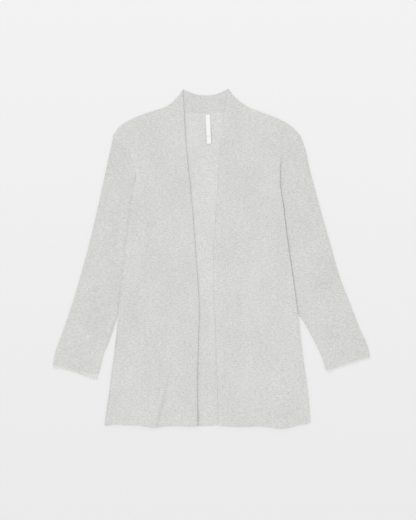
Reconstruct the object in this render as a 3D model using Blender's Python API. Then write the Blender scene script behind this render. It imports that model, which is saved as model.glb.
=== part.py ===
"""Long, open-front pajama cardigan in fine rib knit, laid flat on its back with its front up.

Sizes are millimetres in the garment's own frame: x runs across from the centre line, y runs up
from the hem to the collar, and z is the height above the surface that it lies on. "Right" and
"left" are the wearer's, so the right front is on the viewer's left. The last step turns every
piece to metres and centres the whole garment over the origin.
"""

import math
from collections import namedtuple

import bmesh
import bpy
import numpy as np
from mathutils import Matrix, Vector
from mathutils.geometry import delaunay_2d_cdt

# Cloth and seams
CLOTH = 1.5  # wall of one layer between the ribs
RIB_RISE = 0.45  # height of a rib over its valley
RIB_PITCH = 5.8
RIB_PITCH_ASLANT = 1.04  # a sleeve's ribs lean, so they stand this much further apart along x
SEAM_GAP = 0.3
SEAM_EASE = 14.0  # the cloth rises from a seam over this distance
CREASE_SEAM_EASE = 24.0  # a crease dies out over this distance from a seam
CREASE_GROWS, CREASE_FADES = 0.55, 0.45  # shares of its length over which a crease comes and goes
LOFT = 0.6  # spare height of the fronts over the back
ARMHOLE_GAP = 0.45  # along x, which leaves about the seam gap across the slanted armhole

# Flattened sleeves, and the body where it lies on them
SLEEVE_HOLLOW = 0.4
SLEEVE_PUFF = 2.0
PUFF_EASE = 45.0
CUFF_PUFF = 0.35  # share of the puff that reaches the cuff
TUCK_PUFF_EASE = 25.0
HEAD_EASE = 30.0
SLEEVE_CREASE_EASE = 18.0
FOLD_WALL = 2.5  # cloth at a sleeve's fold, seen from above
FOLD_ROUND = 0.8  # how far a fold swells out at mid height
FOLD_END_EASE = 25.0  # the wall of a fold turns into the mouth's over this distance
TUCK_CLEARANCE = 0.6
TUCK_LIFT = 2 * CLOTH + SLEEVE_HOLLOW + RIB_RISE + TUCK_CLEARANCE
TUCK_RAMP = 32.0
UNDERARM_EASE = 20.0
UNDERARM_REACH = 36.0

# Frilled cuff edging
EDGING_WIDTH = 6.5
EDGING_CLOTH = 1.2
EDGING_WAVES = 9
EDGING_WAVE_OUT = 0.9
EDGING_WAVE_UP = 0.9
EDGING_STEPS = 27  # pieces of the edging along each layer
EDGING_LINE_STEP = 1.0
FOLD_STEPS = 4  # pieces round each fold

# Bare neck label with a second, longer tab under it
LABEL_CLOTH = 0.5
LABEL_LENGTH, LABEL_WIDTH = 49.0, 10.5
TAB_LENGTH, TAB_WIDTH = 24.0, 10.0
LABEL_TOP = (1.5, 716.0)
TAB_TOP = (3.6, 673.0)
LABEL_LEAN = math.radians(2.9)
LABEL_CURL = 1.2
LABEL_OVER_TAB = (0.6, 0.85)  # shares of its length between which the label climbs on the tab
LABEL_CURLS_FROM = 0.8
TAB_CURL = 0.72
TAB_CURLS_FROM = 0.45
STRIP_ROWS = 9

# Spacing of the points that make up the walls
OUTLINE_STEP = 9.0
PLAIN_OUTLINE_STEP = 16.0  # where no hidden sleeve lifts the outline
RIB_STEP = 75.0
RAMP_STEP = 26.0
CREASE_STEP = 13.0
LINING_STEP = 46.0
LINING_FINE_STEP = 13.0
LINING_CLEAR = 5.5
SLEEVE_LINING_STEP = 23.0
ROW_STEP = math.sqrt(0.75)  # height of a row of points over their distance apart
LIFT_STARTS, LIFT_LEVELS = 0.03, 0.99  # shares of the lift between which the cloth slopes
CREASE_MARGIN = 0.1  # share of a crease's length and reach that gets close points beyond it
FIRST_SLEEVE_RIB = 0.5
GUIDE_AHEAD = 6  # steps by which a sleeve's guide line runs on past its cuff
NEXT_STOP = 1.0  # how much nearer than its spacing a point may stand
MERGE = 1e-7
SNAP = 0.6  # a rib that meets an outline this near to a corner ends on the corner
BACK_RIB_REACH = 60.0  # ribs of the back are raised where the open front shows them
BACK_RIB_FADE = 2.0

SHARP_ANGLE = math.radians(40)
METRES = 0.001

Side = namedtuple(
    "Side",
    "collar shoulder armhole seam hem edge sleeve_outer tuck underarm cuff",
)

# Each row is x, y on a smooth line, in the order in which the line is drawn.
RIGHT = Side(
    collar=[(-55, 774), (-64, 760), (-80, 743), (-101, 731)],
    shoulder=[(-101, 731), (-124, 724), (-156, 713), (-184, 700), (-204, 685), (-217, 665)],
    armhole=[(-217, 665), (-200, 649), (-178, 623), (-166, 591), (-163, 568)],
    seam=[
        (-163, 568), (-168, 550), (-174, 508), (-182, 453), (-190, 370),
        (-204, 258), (-218, 129), (-235, 5),
    ],
    hem=[(-235, 5), (-200, 3), (-154, 1), (-122, -4), (-94, 0), (-62, 2), (-22, 2)],
    edge=[
        (-22, 2), (-23, 94), (-20, 198), (-18, 262), (-25, 377),
        (-31, 462), (-39, 554), (-47, 630), (-52, 704), (-55, 774),
    ],
    sleeve_outer=[
        (-217, 665), (-224, 630), (-238, 566), (-252, 501), (-271, 421),
        (-294, 336), (-320, 252), (-336, 207), (-349, 170), (-353.5, 146.5),
    ],
    tuck=[
        (-163, 568), (-153, 540), (-146, 497), (-147, 428), (-158, 359),
        (-177, 301), (-204, 258),
    ],
    underarm=[(-204, 258), (-214, 225), (-229, 189), (-239, 168), (-244, 147), (-250, 121)],
    cuff=[(-250, 121), (-287, 127), (-324, 136), (-353.5, 146.5)],
)
LEFT = Side(
    collar=[(49, 775), (59, 761), (75, 746), (99, 731)],
    shoulder=[(99, 731), (120, 723), (152, 711), (179, 699), (199, 684), (215, 665)],
    armhole=[(215, 665), (201, 650), (185, 631), (171, 614), (167, 593)],
    seam=[
        (167, 593), (168, 554), (175, 506), (182, 446), (192, 375),
        (209, 255), (224, 129), (236, 12),
    ],
    hem=[(236, 12), (214, 5), (191, -3), (166, -6), (140, -2), (113, 1), (76, 0), (26, 1)],
    edge=[
        (26, 1), (24, 106), (21, 209), (17, 301), (15, 370),
        (19, 451), (27, 566), (34, 658), (40, 718), (49, 775),
    ],
    sleeve_outer=[
        (215, 665), (225, 632), (240, 577), (259, 506), (283, 421),
        (308, 336), (335, 267), (354, 218), (369, 182), (374, 163),
    ],
    tuck=[
        (167, 593), (158, 561), (151, 508), (153, 432), (164, 359),
        (183, 301), (209, 255),
    ],
    underarm=[(209, 255), (223, 235), (239, 207), (254, 177), (264, 154), (271, 132)],
    cuff=[(271, 132), (308, 145), (343, 156), (374, 163)],
)
NECK_SEAM = [(-101, 731), (-80, 727), (-52, 722), (-2, 719), (39, 722), (76, 727), (99, 731)]
COLLAR_TOP = [(-55, 774), (-41, 768), (-23, 762), (-2, 760), (18, 762), (34, 768), (49, 775)]
BACK_HEM_X, BACK_HEM_Y = 200, 3.5

Crease = namedtuple("Crease", "x0 y0 x1 y1 before after rise opens")

# A crease is a soft ridge from x0, y0 to x1, y1. Before and after are how far it spreads on its
# left and on its right as one looks along it from above downwards; an open one keeps its height.
FRONT_CREASES = [
    Crease(-92, 145, -125, -4, 20, 12, 5.0, True),
    Crease(-181, 190, -178, 120, 11, 7, 1.4, False),
    Crease(-30, 62, -28, -2, 24, 12, 2.2, True),
    Crease(44, 185, 31, 50, 8, 9, 1.6, False),
    Crease(188, 190, 173, -6, 34, 26, 4.5, True),
    Crease(103, 192, 109, 125, 12, 9, 1.4, False),
    Crease(119, 88, 120, 20, 11, 9, 1.6, False),
]
SLEEVE_CREASES = [
    Crease(-276, 304, -206, 309, 11, 9, 1.4, False),
    Crease(-303, 182, -284, 146, 9, 7, 1.4, False),
    Crease(309, 198, 289, 158, 9, 7, 1.4, False),
]

CLOTH_COLOUR = (0.665, 0.665, 0.648, 1.0)
INSIDE_COLOUR = (0.69, 0.69, 0.675, 1.0)
EDGING_COLOUR = (0.74, 0.74, 0.72, 1.0)
LABEL_COLOUR = (0.92, 0.92, 0.91, 1.0)
CLOTH_ROUGHNESS = 0.9
LABEL_ROUGHNESS = 0.6


# Lines and distances


def curve(knots, step=OUTLINE_STEP):
    """A smooth line through the knots, with a point about every step."""
    knots = np.array(knots, float)
    gaps = np.linalg.norm(np.diff(knots, axis=0), axis=1)
    slopes = np.diff(knots, axis=0) / gaps[:, None]
    tangents = np.vstack([slopes[:1], slopes[1:], slopes[-1:]])
    for i in range(1, len(knots) - 1):
        near, far = gaps[i - 1], gaps[i]
        tangents[i] = (slopes[i - 1] * far + slopes[i] * near) / (near + far)
    points = [knots[0]]
    for i, gap in enumerate(gaps):
        pieces = max(1, round(gap / step))
        for t in np.arange(1, pieces + 1) / pieces:
            rise = t * t * (3 - 2 * t)
            lead = gap * t * (1 - t) ** 2
            trail = gap * t * t * (t - 1)
            points.append(
                knots[i] * (1 - rise) + knots[i + 1] * rise
                + tangents[i] * lead + tangents[i + 1] * trail
            )
    return np.array(points)


def plain_curve(knots):
    """A smooth line through the knots, with its points further apart."""
    return curve(knots, PLAIN_OUTLINE_STEP)


def joined(*lines):
    """One closed outline, counter-clockwise, from lines that meet end to end."""
    points = np.vstack([line[:-1] for line in lines])
    x, y = points.T
    area = (x * np.roll(y, -1) - y * np.roll(x, -1)).sum()
    return points if area > 0 else points[::-1]


def distance(points, line):
    """How far each point lies from an open line."""
    points = np.atleast_2d(points)
    best = np.full(len(points), np.inf)
    for start, end in zip(line[:-1], line[1:]):
        along = end - start
        t = np.clip(((points - start) @ along) / (along @ along), 0, 1)
        best = np.minimum(best, np.linalg.norm(points - start - t[:, None] * along, axis=1))
    return best


def within(points, outline):
    """Which points lie inside a closed outline."""
    points = np.atleast_2d(points)
    x, y = points.T
    inside = np.zeros(len(points), bool)
    for (x0, y0), (x1, y1) in zip(outline, np.roll(outline, -1, axis=0)):
        crosses = (y0 > y) != (y1 > y)
        if y1 != y0:
            inside ^= crosses & (x < (x1 - x0) * (y - y0) / (y1 - y0) + x0)
    return inside


def closed(outline):
    """The outline with its first point repeated at the end."""
    return np.vstack([outline, outline[:1]])


def ease(t):
    """A soft step from 0 to 1."""
    t = np.clip(t, 0.0, 1.0)
    return t * t * (3 - 2 * t)


# Heights over the surface, for arrays of x, y points


def rib(across):
    """Height of a rib at a distance across the ribs, from 0 in a valley to 1 on a crest."""
    phase = np.asarray(across) / RIB_PITCH
    return np.abs(2 * (phase - np.floor(phase)) - 1)


def tuck_outline(side):
    """The part of a sleeve that is folded under the body."""
    hidden = curve(side.tuck)
    seam = curve(side.seam)
    seam = seam[seam[:, 1] >= side.tuck[-1][1]]
    return joined(hidden, seam[::-1])


def lift(points):
    """How far the sleeve edges under the body carry it up."""
    points = np.atleast_2d(points)
    height = np.zeros(len(points))
    for outline in TUCKS:
        away = distance(points, closed(outline))
        away[within(points, outline)] = 0
        height = np.maximum(height, TUCK_LIFT * (1 - ease(away / TUCK_RAMP)))
    return height


def crease_parts(points, crease):
    """For each point, how far along a crease it lies and how far across, as shares."""
    start, end = np.array([crease.x0, crease.y0]), np.array([crease.x1, crease.y1])
    along = end - start
    length = np.linalg.norm(along)
    run = (points - start) @ along / length**2
    side = ((points - start) @ np.array([along[1], -along[0]])) / length
    return run, np.where(side > 0, side / crease.before, -side / crease.after)


def creased(points, creases):
    """Height that soft ridges add to the cloth."""
    points = np.atleast_2d(points)
    height = np.zeros(len(points))
    for crease in creases:
        run, spread = crease_parts(points, crease)
        grows = ease(run / CREASE_GROWS) * (1 if crease.opens else ease((1 - run) / CREASE_FADES))
        across = 0.5 * (1 + np.cos(np.pi * np.clip(spread, 0, 1)))
        height += crease.rise * grows * across
    return height


def spacing(points, creases, ramp=True):
    """How far apart the points along a rib may stand: less in creases and by a hidden sleeve."""
    points = np.atleast_2d(points)
    step = np.full(len(points), RIB_STEP)
    if ramp:
        share = lift(points) / TUCK_LIFT
        step[(share > LIFT_STARTS) & (share < LIFT_LEVELS)] = RAMP_STEP
    for crease in creases:
        run, spread = crease_parts(points, crease)
        near = (run > -CREASE_MARGIN) & (run < 1 + CREASE_MARGIN) & (spread < 1 + CREASE_MARGIN)
        step[near] = CREASE_STEP
    return step


def front_spacing(points):
    """Spacing of the points of a front."""
    return spacing(points, FRONT_CREASES)


def back_spacing(points):
    """Spacing of the points of the back, which has no creases."""
    return spacing(points, ())


def back_top(points):
    """Top of the back panel and the back collar: their inside, with ribs where they show."""
    seams = np.minimum.reduce([distance(points, line) for line in SEWN])
    shown = ease((BACK_RIB_REACH - np.abs(points[:, 0])) / BACK_RIB_FADE)
    return lift(points) + CLOTH + RIB_RISE * rib(points[:, 0]) * shown * ease(seams / SEAM_EASE)


def front_under(points):
    """Underside of a front, which lies on the back and rises from its seams."""
    seams = np.minimum.reduce([distance(points, line) for line in SEWN])
    free = ease(seams / SEAM_EASE)
    folded = creased(points, FRONT_CREASES) * ease(seams / CREASE_SEAM_EASE)
    spare = (RIB_RISE + LOFT) * free + folded
    return lift(points) + CLOTH + SEAM_GAP + spare


def front_top(points):
    """Ribbed right side of a front."""
    return front_under(points) + CLOTH + RIB_RISE * rib(points[:, 0])


# Walls


def triangles(outline, inner=(), lines=()):
    """Triangles over an outline, through the inner points and along the lines between them."""
    given = np.vstack([outline, np.reshape(inner, (-1, 2))])
    corners = [Vector(p) for p in given]
    face = [list(range(len(outline)))]
    _, _, faces, sources, _, _ = delaunay_2d_cdt(corners, list(lines), face, 1, MERGE)
    turned = []
    for face in faces:
        a, b, c = (sources[i][0] for i in face)
        (ax, ay), (bx, by), (cx, cy) = given[[a, b, c]]
        left = (bx - ax) * (cy - ay) - (by - ay) * (cx - ax)
        turned.append((a, b, c) if left > 0 else (a, c, b))
    return given, turned


def ribbed(outline, pitch, first, last, apart):
    """An outline with the ends of its ribs added, and the points and lines of the ribs in it.

    The ribs run along y, half a pitch apart for crest and valley, from first to last.
    """
    ring = [tuple(p) for p in outline]
    lines_at = np.arange(math.ceil(first / (pitch / 2)), math.floor(last / (pitch / 2)) + 1)
    for number in lines_at:
        x = number * pitch / 2
        grown = []
        for here, there in zip(ring, ring[1:] + ring[:1]):
            grown.append(here)
            before, after = here[0] - x, there[0] - x
            if before * after < 0 and min(abs(before), abs(after)) > SNAP:
                t = (x - here[0]) / (there[0] - here[0])
                grown.append((x, here[1] + t * (there[1] - here[1])))
        ring = grown
    inner, lines = [], []
    ring_array = np.array(ring)
    for number in lines_at:
        x = number * pitch / 2
        for low, high in spans(ring_array, x):
            stops = rib_stops(x, ring_array[low][1], ring_array[high][1], apart)
            first_stop = len(ring) + len(inner)
            chain = [low, *range(first_stop, first_stop + len(stops)), high]
            inner += [(x, y) for y in stops]
            lines += list(zip(chain[:-1], chain[1:]))
    return ring_array, inner, lines


def spans(ring, x):
    """Pairs of outline points that a line at x enters and leaves by, from low to high."""
    meets = []
    count = len(ring)
    for i in range(count):
        here, after = ring[i], ring[(i + 1) % count]
        if (here[0] - x) * (after[0] - x) < 0:
            near = i if abs(here[0] - x) < abs(after[0] - x) else (i + 1) % count
            meets.append((ring[near][1], near))
        elif here[0] == x and (ring[i - 1][0] - x) * (after[0] - x) < 0:
            meets.append((here[1], i))
    meets = [i for _, i in sorted(set(meets))]
    return [(a, b) for a, b in zip(meets[0::2], meets[1::2]) if ring[b][1] - ring[a][1] > 2 * SNAP]


def rib_stops(x, low, high, apart):
    """Heights y of the points along one rib line, closer where the cloth bends."""
    steps = np.arange(low + CREASE_STEP, high - CREASE_STEP / 2, CREASE_STEP)
    if not len(steps):
        return []
    wanted = apart(np.column_stack([np.full(len(steps), x), steps]))
    stops, last = [], low
    for y, step in zip(steps, wanted):
        if y - last >= step - NEXT_STOP:
            stops.append(y)
            last = y
    return stops


def lining(outline, apart, edges=(), coarse=LINING_STEP):
    """Points inside an outline for a plain side, closer where the cloth bends.

    The edges are lines that the cloth bends over, which get points of their own.
    """
    (x0, y0), (x1, y1) = outline.min(axis=0), outline.max(axis=0)
    chosen = list(edges)
    for step, fine in ((coarse, False), (LINING_FINE_STEP, True)):
        rows = np.arange(y0 + step / 2, y1, step * ROW_STEP)
        grid = np.array([
            (x, y) for number, y in enumerate(rows)
            for x in np.arange(x0 + step * (1 + 2 * (number % 2)) / 4, x1, step)
        ]).reshape(-1, 2)
        grid = grid[(apart(grid) < RIB_STEP) == fine]
        for edge in edges:
            grid = grid[distance(grid, edge) > LINING_CLEAR]
        chosen.append(grid)
    chosen = np.vstack(chosen)
    clear = distance(chosen, closed(outline)) > LINING_CLEAR
    return [tuple(point) for point in chosen[within(chosen, outline) & clear]]


class Skin:
    """Corners and faces of one closed piece, where each layer keeps its points by their place."""

    def __init__(self):
        self.corners = []
        self.faces = []
        self.places = {}

    def corner(self, layer, across, y, place):
        """The number of the corner of a layer at across, y, made at its place if it is new."""
        key = (layer, round(float(across), 3), round(float(y), 3))
        if key not in self.places:
            self.places[key] = len(self.corners)
            self.corners.append(tuple(float(v) for v in place))
        return self.places[key]

    def layer(self, name, mesh, spot, height, upward):
        """Adds a layer of triangles at a height, facing up or down."""
        points, faces = mesh
        flat = spot(points)
        tops = height(flat)
        numbers = [
            self.corner(name, a, y, (*where, z))
            for (a, y), where, z in zip(points, flat, tops)
        ]
        for a, b, c in faces:
            ring = (a, b, c) if upward else (a, c, b)
            self.faces.append(tuple(numbers[i] for i in ring))

    def at(self, layer, point):
        """The number of a corner that a layer already has."""
        return self.places[(layer, round(float(point[0]), 3), round(float(point[1]), 3))]

    def strip(self, line, lower, upper):
        """Faces between two layers along a line, facing to the right of the line's direction."""
        for here, there in zip(line[:-1], line[1:]):
            a, b = self.at(lower, here), self.at(lower, there)
            c, d = self.at(upper, there), self.at(upper, here)
            self.faces += [(a, b, c), (a, c, d)]

    def build(self, name, material):
        """The finished object."""
        mesh = bpy.data.meshes.new(name)
        mesh.from_pydata(self.corners, [], self.faces)
        shell = bmesh.new()
        shell.from_mesh(mesh)
        bmesh.ops.recalc_face_normals(shell, faces=shell.faces)
        shell.to_mesh(mesh)
        shell.free()
        mesh.shade_smooth()
        mesh.set_sharp_from_angle(angle=SHARP_ANGLE)
        mesh.materials.append(material)
        piece = bpy.data.objects.new(name, mesh)
        bpy.context.scene.collection.objects.link(piece)
        return piece


def straight(points):
    """Body ribs run straight up the garment, so their place across is x itself."""
    return points


def panel(name, material, outline, top, under, reach, apart):
    """One flat-lying piece of cloth: a ribbed top, a plain underside and its edges.

    The ribs reach from the first place across to the last, and the cloth beyond them is plain.
    """
    ring, inner, lines = ribbed(outline, RIB_PITCH, *reach, apart)
    plain = lining(ring, apart, TUCK_EDGES)
    beyond = [p for p in plain if p[0] < reach[0] - RIB_PITCH or p[0] > reach[1] + RIB_PITCH]
    skin = Skin()
    skin.layer("top", triangles(ring, inner + beyond, lines), straight, top, True)
    skin.layer("under", triangles(ring, plain), straight, under, False)
    skin.strip(closed(ring), "under", "top")
    return skin.build(name, material)


# Pieces


def make_back(material):
    """Back panel, from the hem to the neck seam, with its plain outer side on the surface."""
    corners = curve(RIGHT.seam)[-1], curve(LEFT.seam)[-1]
    hem = np.array([corners[0], (-BACK_HEM_X, BACK_HEM_Y), (BACK_HEM_X, BACK_HEM_Y), corners[1]])
    outline = joined(
        plain_curve(RIGHT.shoulder), curve(RIGHT.armhole), curve(RIGHT.seam), hem,
        curve(LEFT.seam)[::-1], curve(LEFT.armhole)[::-1], plain_curve(LEFT.shoulder)[::-1],
        plain_curve(NECK_SEAM)[::-1],
    )
    reach = (-BACK_RIB_REACH, BACK_RIB_REACH)
    return panel("back", material, outline, back_top, lift, reach, back_spacing)


def make_back_collar(material):
    """Back of the stand collar, from the neck seam to the top edge, inside up."""
    raised = plain_curve(NECK_SEAM) + np.array([0.0, SEAM_GAP])
    right, left = plain_curve(RIGHT.collar), plain_curve(LEFT.collar)
    right[-1], left[-1] = raised[0], raised[-1]
    outline = joined(right[::-1], curve(COLLAR_TOP), left, raised[::-1])
    reach = (-BACK_RIB_REACH, BACK_RIB_REACH)
    return panel("back_collar", material, outline, back_top, lift, reach, back_spacing)


def make_front(name, side, material):
    """A front with its grown-on collar, from the hem to the collar's corner."""
    outline = joined(
        plain_curve(side.collar), plain_curve(side.shoulder), curve(side.armhole),
        curve(side.seam), plain_curve(side.hem), plain_curve(side.edge),
    )
    reach = (outline[:, 0].min(), outline[:, 0].max())
    return panel(name, material, outline, front_top, front_under, reach, front_spacing)


class Sleeve:
    """A flattened sleeve: two layers joined at the outer fold and the underarm fold."""

    def __init__(self, side):
        self.outward = math.copysign(1.0, side.sleeve_outer[0][0])
        shift = np.array([self.outward * ARMHOLE_GAP, 0.0])
        self.head = curve(side.armhole) + shift
        self.under = joined_open(plain_curve(side.tuck), plain_curve(side.underarm)) + shift
        self.cuff = plain_curve(side.cuff) + shift
        self.outer = plain_curve(side.sleeve_outer)[::-1] + shift
        self.corner = self.head[-1]
        slope = self.outer[0] - self.outer[1]
        ahead = self.outer[0] + slope * GUIDE_AHEAD
        guide = np.vstack([ahead, self.outer])
        self.guide_y, self.guide_x = guide[:, 1], guide[:, 0]

    def across(self, points):
        """Points in the sleeve's own frame: distance in from the outer fold, and y."""
        points = np.atleast_2d(points)
        inward = self.outward * (np.interp(points[:, 1], self.guide_y, self.guide_x) - points[:, 0])
        return np.column_stack([inward, points[:, 1]])

    def spot(self, points):
        """Points of the garment's frame for points in the sleeve's own."""
        points = np.atleast_2d(points)
        x = np.interp(points[:, 1], self.guide_y, self.guide_x) - self.outward * points[:, 0]
        return np.column_stack([x, points[:, 1]])

    def hollow(self, points):
        """Height of the space between the layers."""
        folds = np.minimum(distance(points, self.outer), distance(points, self.under))
        tucked = np.minimum.reduce([distance(points, closed(t)) for t in TUCKS])
        for outline in TUCKS:
            tucked[within(points, outline)] = 0
        open_head = ease(distance(points, self.head) / PUFF_EASE)
        open_cuff = CUFF_PUFF + (1 - CUFF_PUFF) * ease(distance(points, self.cuff) / PUFF_EASE)
        clear = ease(folds / PUFF_EASE) * ease(tucked / TUCK_PUFF_EASE)
        puff = SLEEVE_PUFF * clear * open_head * open_cuff
        seam_rise = lift(points) * ease((points[:, 1] - self.corner[1]) / UNDERARM_EASE)
        near_head = 1 - ease(distance(points, self.head) / HEAD_EASE)
        folded = creased(points, SLEEVE_CREASES) * ease(folds / SLEEVE_CREASE_EASE)
        return SLEEVE_HOLLOW + puff + seam_rise * near_head + folded

    def ceiling(self, points):
        """Plain underside of the upper layer."""
        return CLOTH + self.hollow(points)

    def top(self, points):
        """Ribbed top of the upper layer."""
        ribs = rib(self.across(points)[:, 0] / RIB_PITCH_ASLANT)
        return 2 * CLOTH + self.hollow(points) + RIB_RISE * ribs

    def apart(self, points):
        """Spacing of the points of the upper layer, for points in the sleeve's own frame."""
        flat = self.spot(points)
        step = spacing(flat, SLEEVE_CREASES, ramp=False)
        by_underarm = np.linalg.norm(flat - self.corner, axis=1) < UNDERARM_REACH
        return np.where(by_underarm, CREASE_STEP, step)


def joined_open(first, second):
    """Two lines that meet, as one."""
    return np.vstack([first, second[1:]])


def make_sleeve(name, side, material):
    """A sleeve's closed wall, open at its head and at its cuff."""
    sleeve = Sleeve(side)
    lines = [sleeve.across(line) for line in (sleeve.head, sleeve.under, sleeve.cuff, sleeve.outer)]
    outline = joined(*lines)
    pitch = RIB_PITCH * RIB_PITCH_ASLANT
    ring, inner, chains = ribbed(
        outline, pitch, FIRST_SLEEVE_RIB, outline[:, 0].max(), sleeve.apart
    )
    head, under, cuff, outer = (piece_of(ring, line) for line in lines)

    head_lip, cuff_lip = lip(head), lip(cuff)
    hollow_under = inset(under, head_lip[-1] - head[-1], cuff_lip[0] - cuff[0], -FOLD_WALL)
    hollow_outer = inset(outer, cuff_lip[-1] - cuff[-1], head_lip[0] - head[0], FOLD_WALL)
    hollow = joined(head_lip, hollow_under, cuff_lip, hollow_outer)

    skin = Skin()
    skin.layer("top", triangles(ring, inner, chains), sleeve.spot, sleeve.top, True)
    skin.layer("floor", triangles(ring), sleeve.spot, flat_at(0.0), False)
    plain = lining(hollow, sleeve.apart, coarse=SLEEVE_LINING_STEP)
    skin.layer("ceiling", triangles(hollow, plain), sleeve.spot, sleeve.ceiling, False)
    skin.layer("sole", triangles(hollow), sleeve.spot, flat_at(CLOTH), True)
    skin.strip(hollow_under, "ceiling", "sole")
    skin.strip(hollow_outer, "ceiling", "sole")
    for fold in (under, outer):
        swell(skin, sleeve, fold)
    for mouth, inside in ((head, head_lip), (cuff, cuff_lip)):
        skin.strip(inside, "ceiling", "top")
        skin.strip(inside, "floor", "sole")
        close_fold(skin, mouth, inside[0])
        close_fold(skin, mouth[::-1], inside[-1])
    return skin.build(name, material)


def flat_at(height):
    """A level height for every point."""
    return lambda points: np.full(len(points), height)


def piece_of(ring, line):
    """The points of a ring from the start to the end of one of the lines it was joined from."""
    start = np.linalg.norm(ring - line[0], axis=1).argmin()
    end = np.linalg.norm(ring - line[-1], axis=1).argmin()
    middle = line[len(line) // 2]
    ahead = ring[np.arange(start, start + (end - start) % len(ring) + 1) % len(ring)]
    behind = ring[np.arange(start, start - (start - end) % len(ring) - 1, -1) % len(ring)]
    near = [np.linalg.norm(part - middle, axis=1).min() for part in (ahead, behind)]
    return ahead if near[0] <= near[1] else behind


def lip(mouth):
    """The part of a mouth's line that the hollow reaches, clear of the folds."""
    length = np.r_[0, np.cumsum(np.linalg.norm(np.diff(mouth, axis=0), axis=1))]
    inside = (length > FOLD_WALL) & (length < length[-1] - FOLD_WALL)
    return mouth[inside]


def inset(fold, first, last, wall):
    """A fold's line moved into the sleeve, from the first offset to the last."""
    length = np.r_[0, np.cumsum(np.linalg.norm(np.diff(fold, axis=0), axis=1))]
    near = ease(1 - length / FOLD_END_EASE)[:, None]
    far = ease(1 - (length[-1] - length) / FOLD_END_EASE)[:, None]
    return fold + near * first + far * last + (1 - near - far) * np.array([wall, 0.0])


def swell(skin, sleeve, fold):
    """A rounded edge along a fold, with a swollen line at mid height."""
    middle = sleeve.spot(fold)
    tangent = np.gradient(middle, axis=0)
    normal = np.column_stack([tangent[:, 1], -tangent[:, 0]])
    normal /= np.linalg.norm(normal, axis=1)[:, None]
    inside = np.vstack([sleeve.head, sleeve.cuff]).mean(axis=0)
    if (normal * (inside - middle)).sum() > 0:
        normal = -normal
    heights = sleeve.top(middle) / 2
    for point, where, out, z in zip(fold, middle, normal, heights):
        skin.corner("fold", *point, (*(where + out * FOLD_ROUND), z))
    skin.strip(fold, "floor", "fold")
    skin.strip(fold, "fold", "top")


def close_fold(skin, mouth, inside):
    """Closes the cut end of a fold, from a mouth's first point to where its hollow begins."""
    reach = np.linalg.norm(mouth - inside, axis=1).argmin()
    run = mouth[: reach + 1]
    rim = [skin.at("floor", point) for point in run]
    rim += [skin.at("sole", inside), skin.at("ceiling", inside)]
    rim += [skin.at("top", point) for point in run[::-1]]
    hub = skin.at("fold", run[0])
    skin.faces += [(hub, a, b) for a, b in zip(rim[:-1], rim[1:])]


def make_edging(name, side, material):
    """The narrow frilled edging round a cuff, as a flattened ring with a wavy free edge."""
    outward = math.copysign(1.0, side.cuff[0][0])
    line = curve(side.cuff, EDGING_LINE_STEP) + np.array([outward * ARMHOLE_GAP, 0.0])
    length = np.r_[0, np.cumsum(np.linalg.norm(np.diff(line, axis=0), axis=1))]
    chord = line[-1] - line[0]
    away = np.array([chord[1], -chord[0]]) / np.linalg.norm(chord)
    away = away if away[1] < 0 else -away
    height = 2 * CLOTH + SLEEVE_HOLLOW + RIB_RISE
    radius = height / 2
    ring = []
    for share in np.linspace(0, 1, EDGING_STEPS + 1):
        ring.append((share, 0.0, 1.0))
    for angle in np.linspace(0, math.pi, FOLD_STEPS + 1)[1:-1]:
        ring.append((1.0, math.sin(angle), math.cos(angle)))
    for share in np.linspace(1, 0, EDGING_STEPS + 1):
        ring.append((share, 0.0, -1.0))
    for angle in np.linspace(math.pi, 0, FOLD_STEPS + 1)[1:-1]:
        ring.append((0.0, -math.sin(angle), math.cos(angle)))

    corners = []
    unit = chord / np.linalg.norm(chord)
    for share, sideways, up in ring:
        reach = radius + share * (length[-1] - 2 * radius)
        spot = np.array([np.interp(reach, length, line[:, 0]), np.interp(reach, length, line[:, 1])])
        wave = 0.5 - 0.5 * math.cos(2 * math.pi * EDGING_WAVES * share)
        rise = EDGING_WAVE_UP * wave * max(up, 0.0) ** 2
        for depth, lifted in ((SEAM_GAP, 0.0), (EDGING_WIDTH + EDGING_WAVE_OUT * wave, rise)):
            for wall in (0.0, EDGING_CLOTH):
                out = (radius - wall) * sideways
                z = radius + (radius - wall) * up + lifted
                corners.append((*(spot + away * depth + unit * out), z))
    skin = Skin()
    skin.corners = [tuple(float(v) for v in corner) for corner in corners]
    count = len(ring)
    for i in range(count):
        here, there = 4 * i, 4 * ((i + 1) % count)
        for a, b in ((0, 1), (1, 3), (3, 2), (2, 0)):
            skin.faces += [(here + a, here + b, there + b), (here + a, there + b, there + a)]
    return skin.build(name, material)


def make_strip(name, top_middle, size, base, material):
    """A bare woven strip that hangs down the inside of the back from its top middle."""
    width, length = size
    turn = np.array([[math.cos(LABEL_LEAN), -math.sin(LABEL_LEAN)],
                     [math.sin(LABEL_LEAN), math.cos(LABEL_LEAN)]])
    rows = np.linspace(0, -length, STRIP_ROWS)
    ring = np.vstack([
        np.column_stack([np.full(STRIP_ROWS, -width / 2), rows]),
        np.column_stack([np.full(STRIP_ROWS, width / 2), rows[::-1]]),
    ]) @ turn.T + np.array(top_middle)

    def under(points):
        return base((top_middle[1] - points[:, 1]) / length)

    def top(points):
        return under(points) + LABEL_CLOTH

    skin = Skin()
    mesh = triangles(ring)
    skin.layer("top", mesh, straight, top, True)
    skin.layer("under", mesh, straight, under, False)
    skin.strip(closed(ring), "under", "top")
    return skin.build(name, material)


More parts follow.
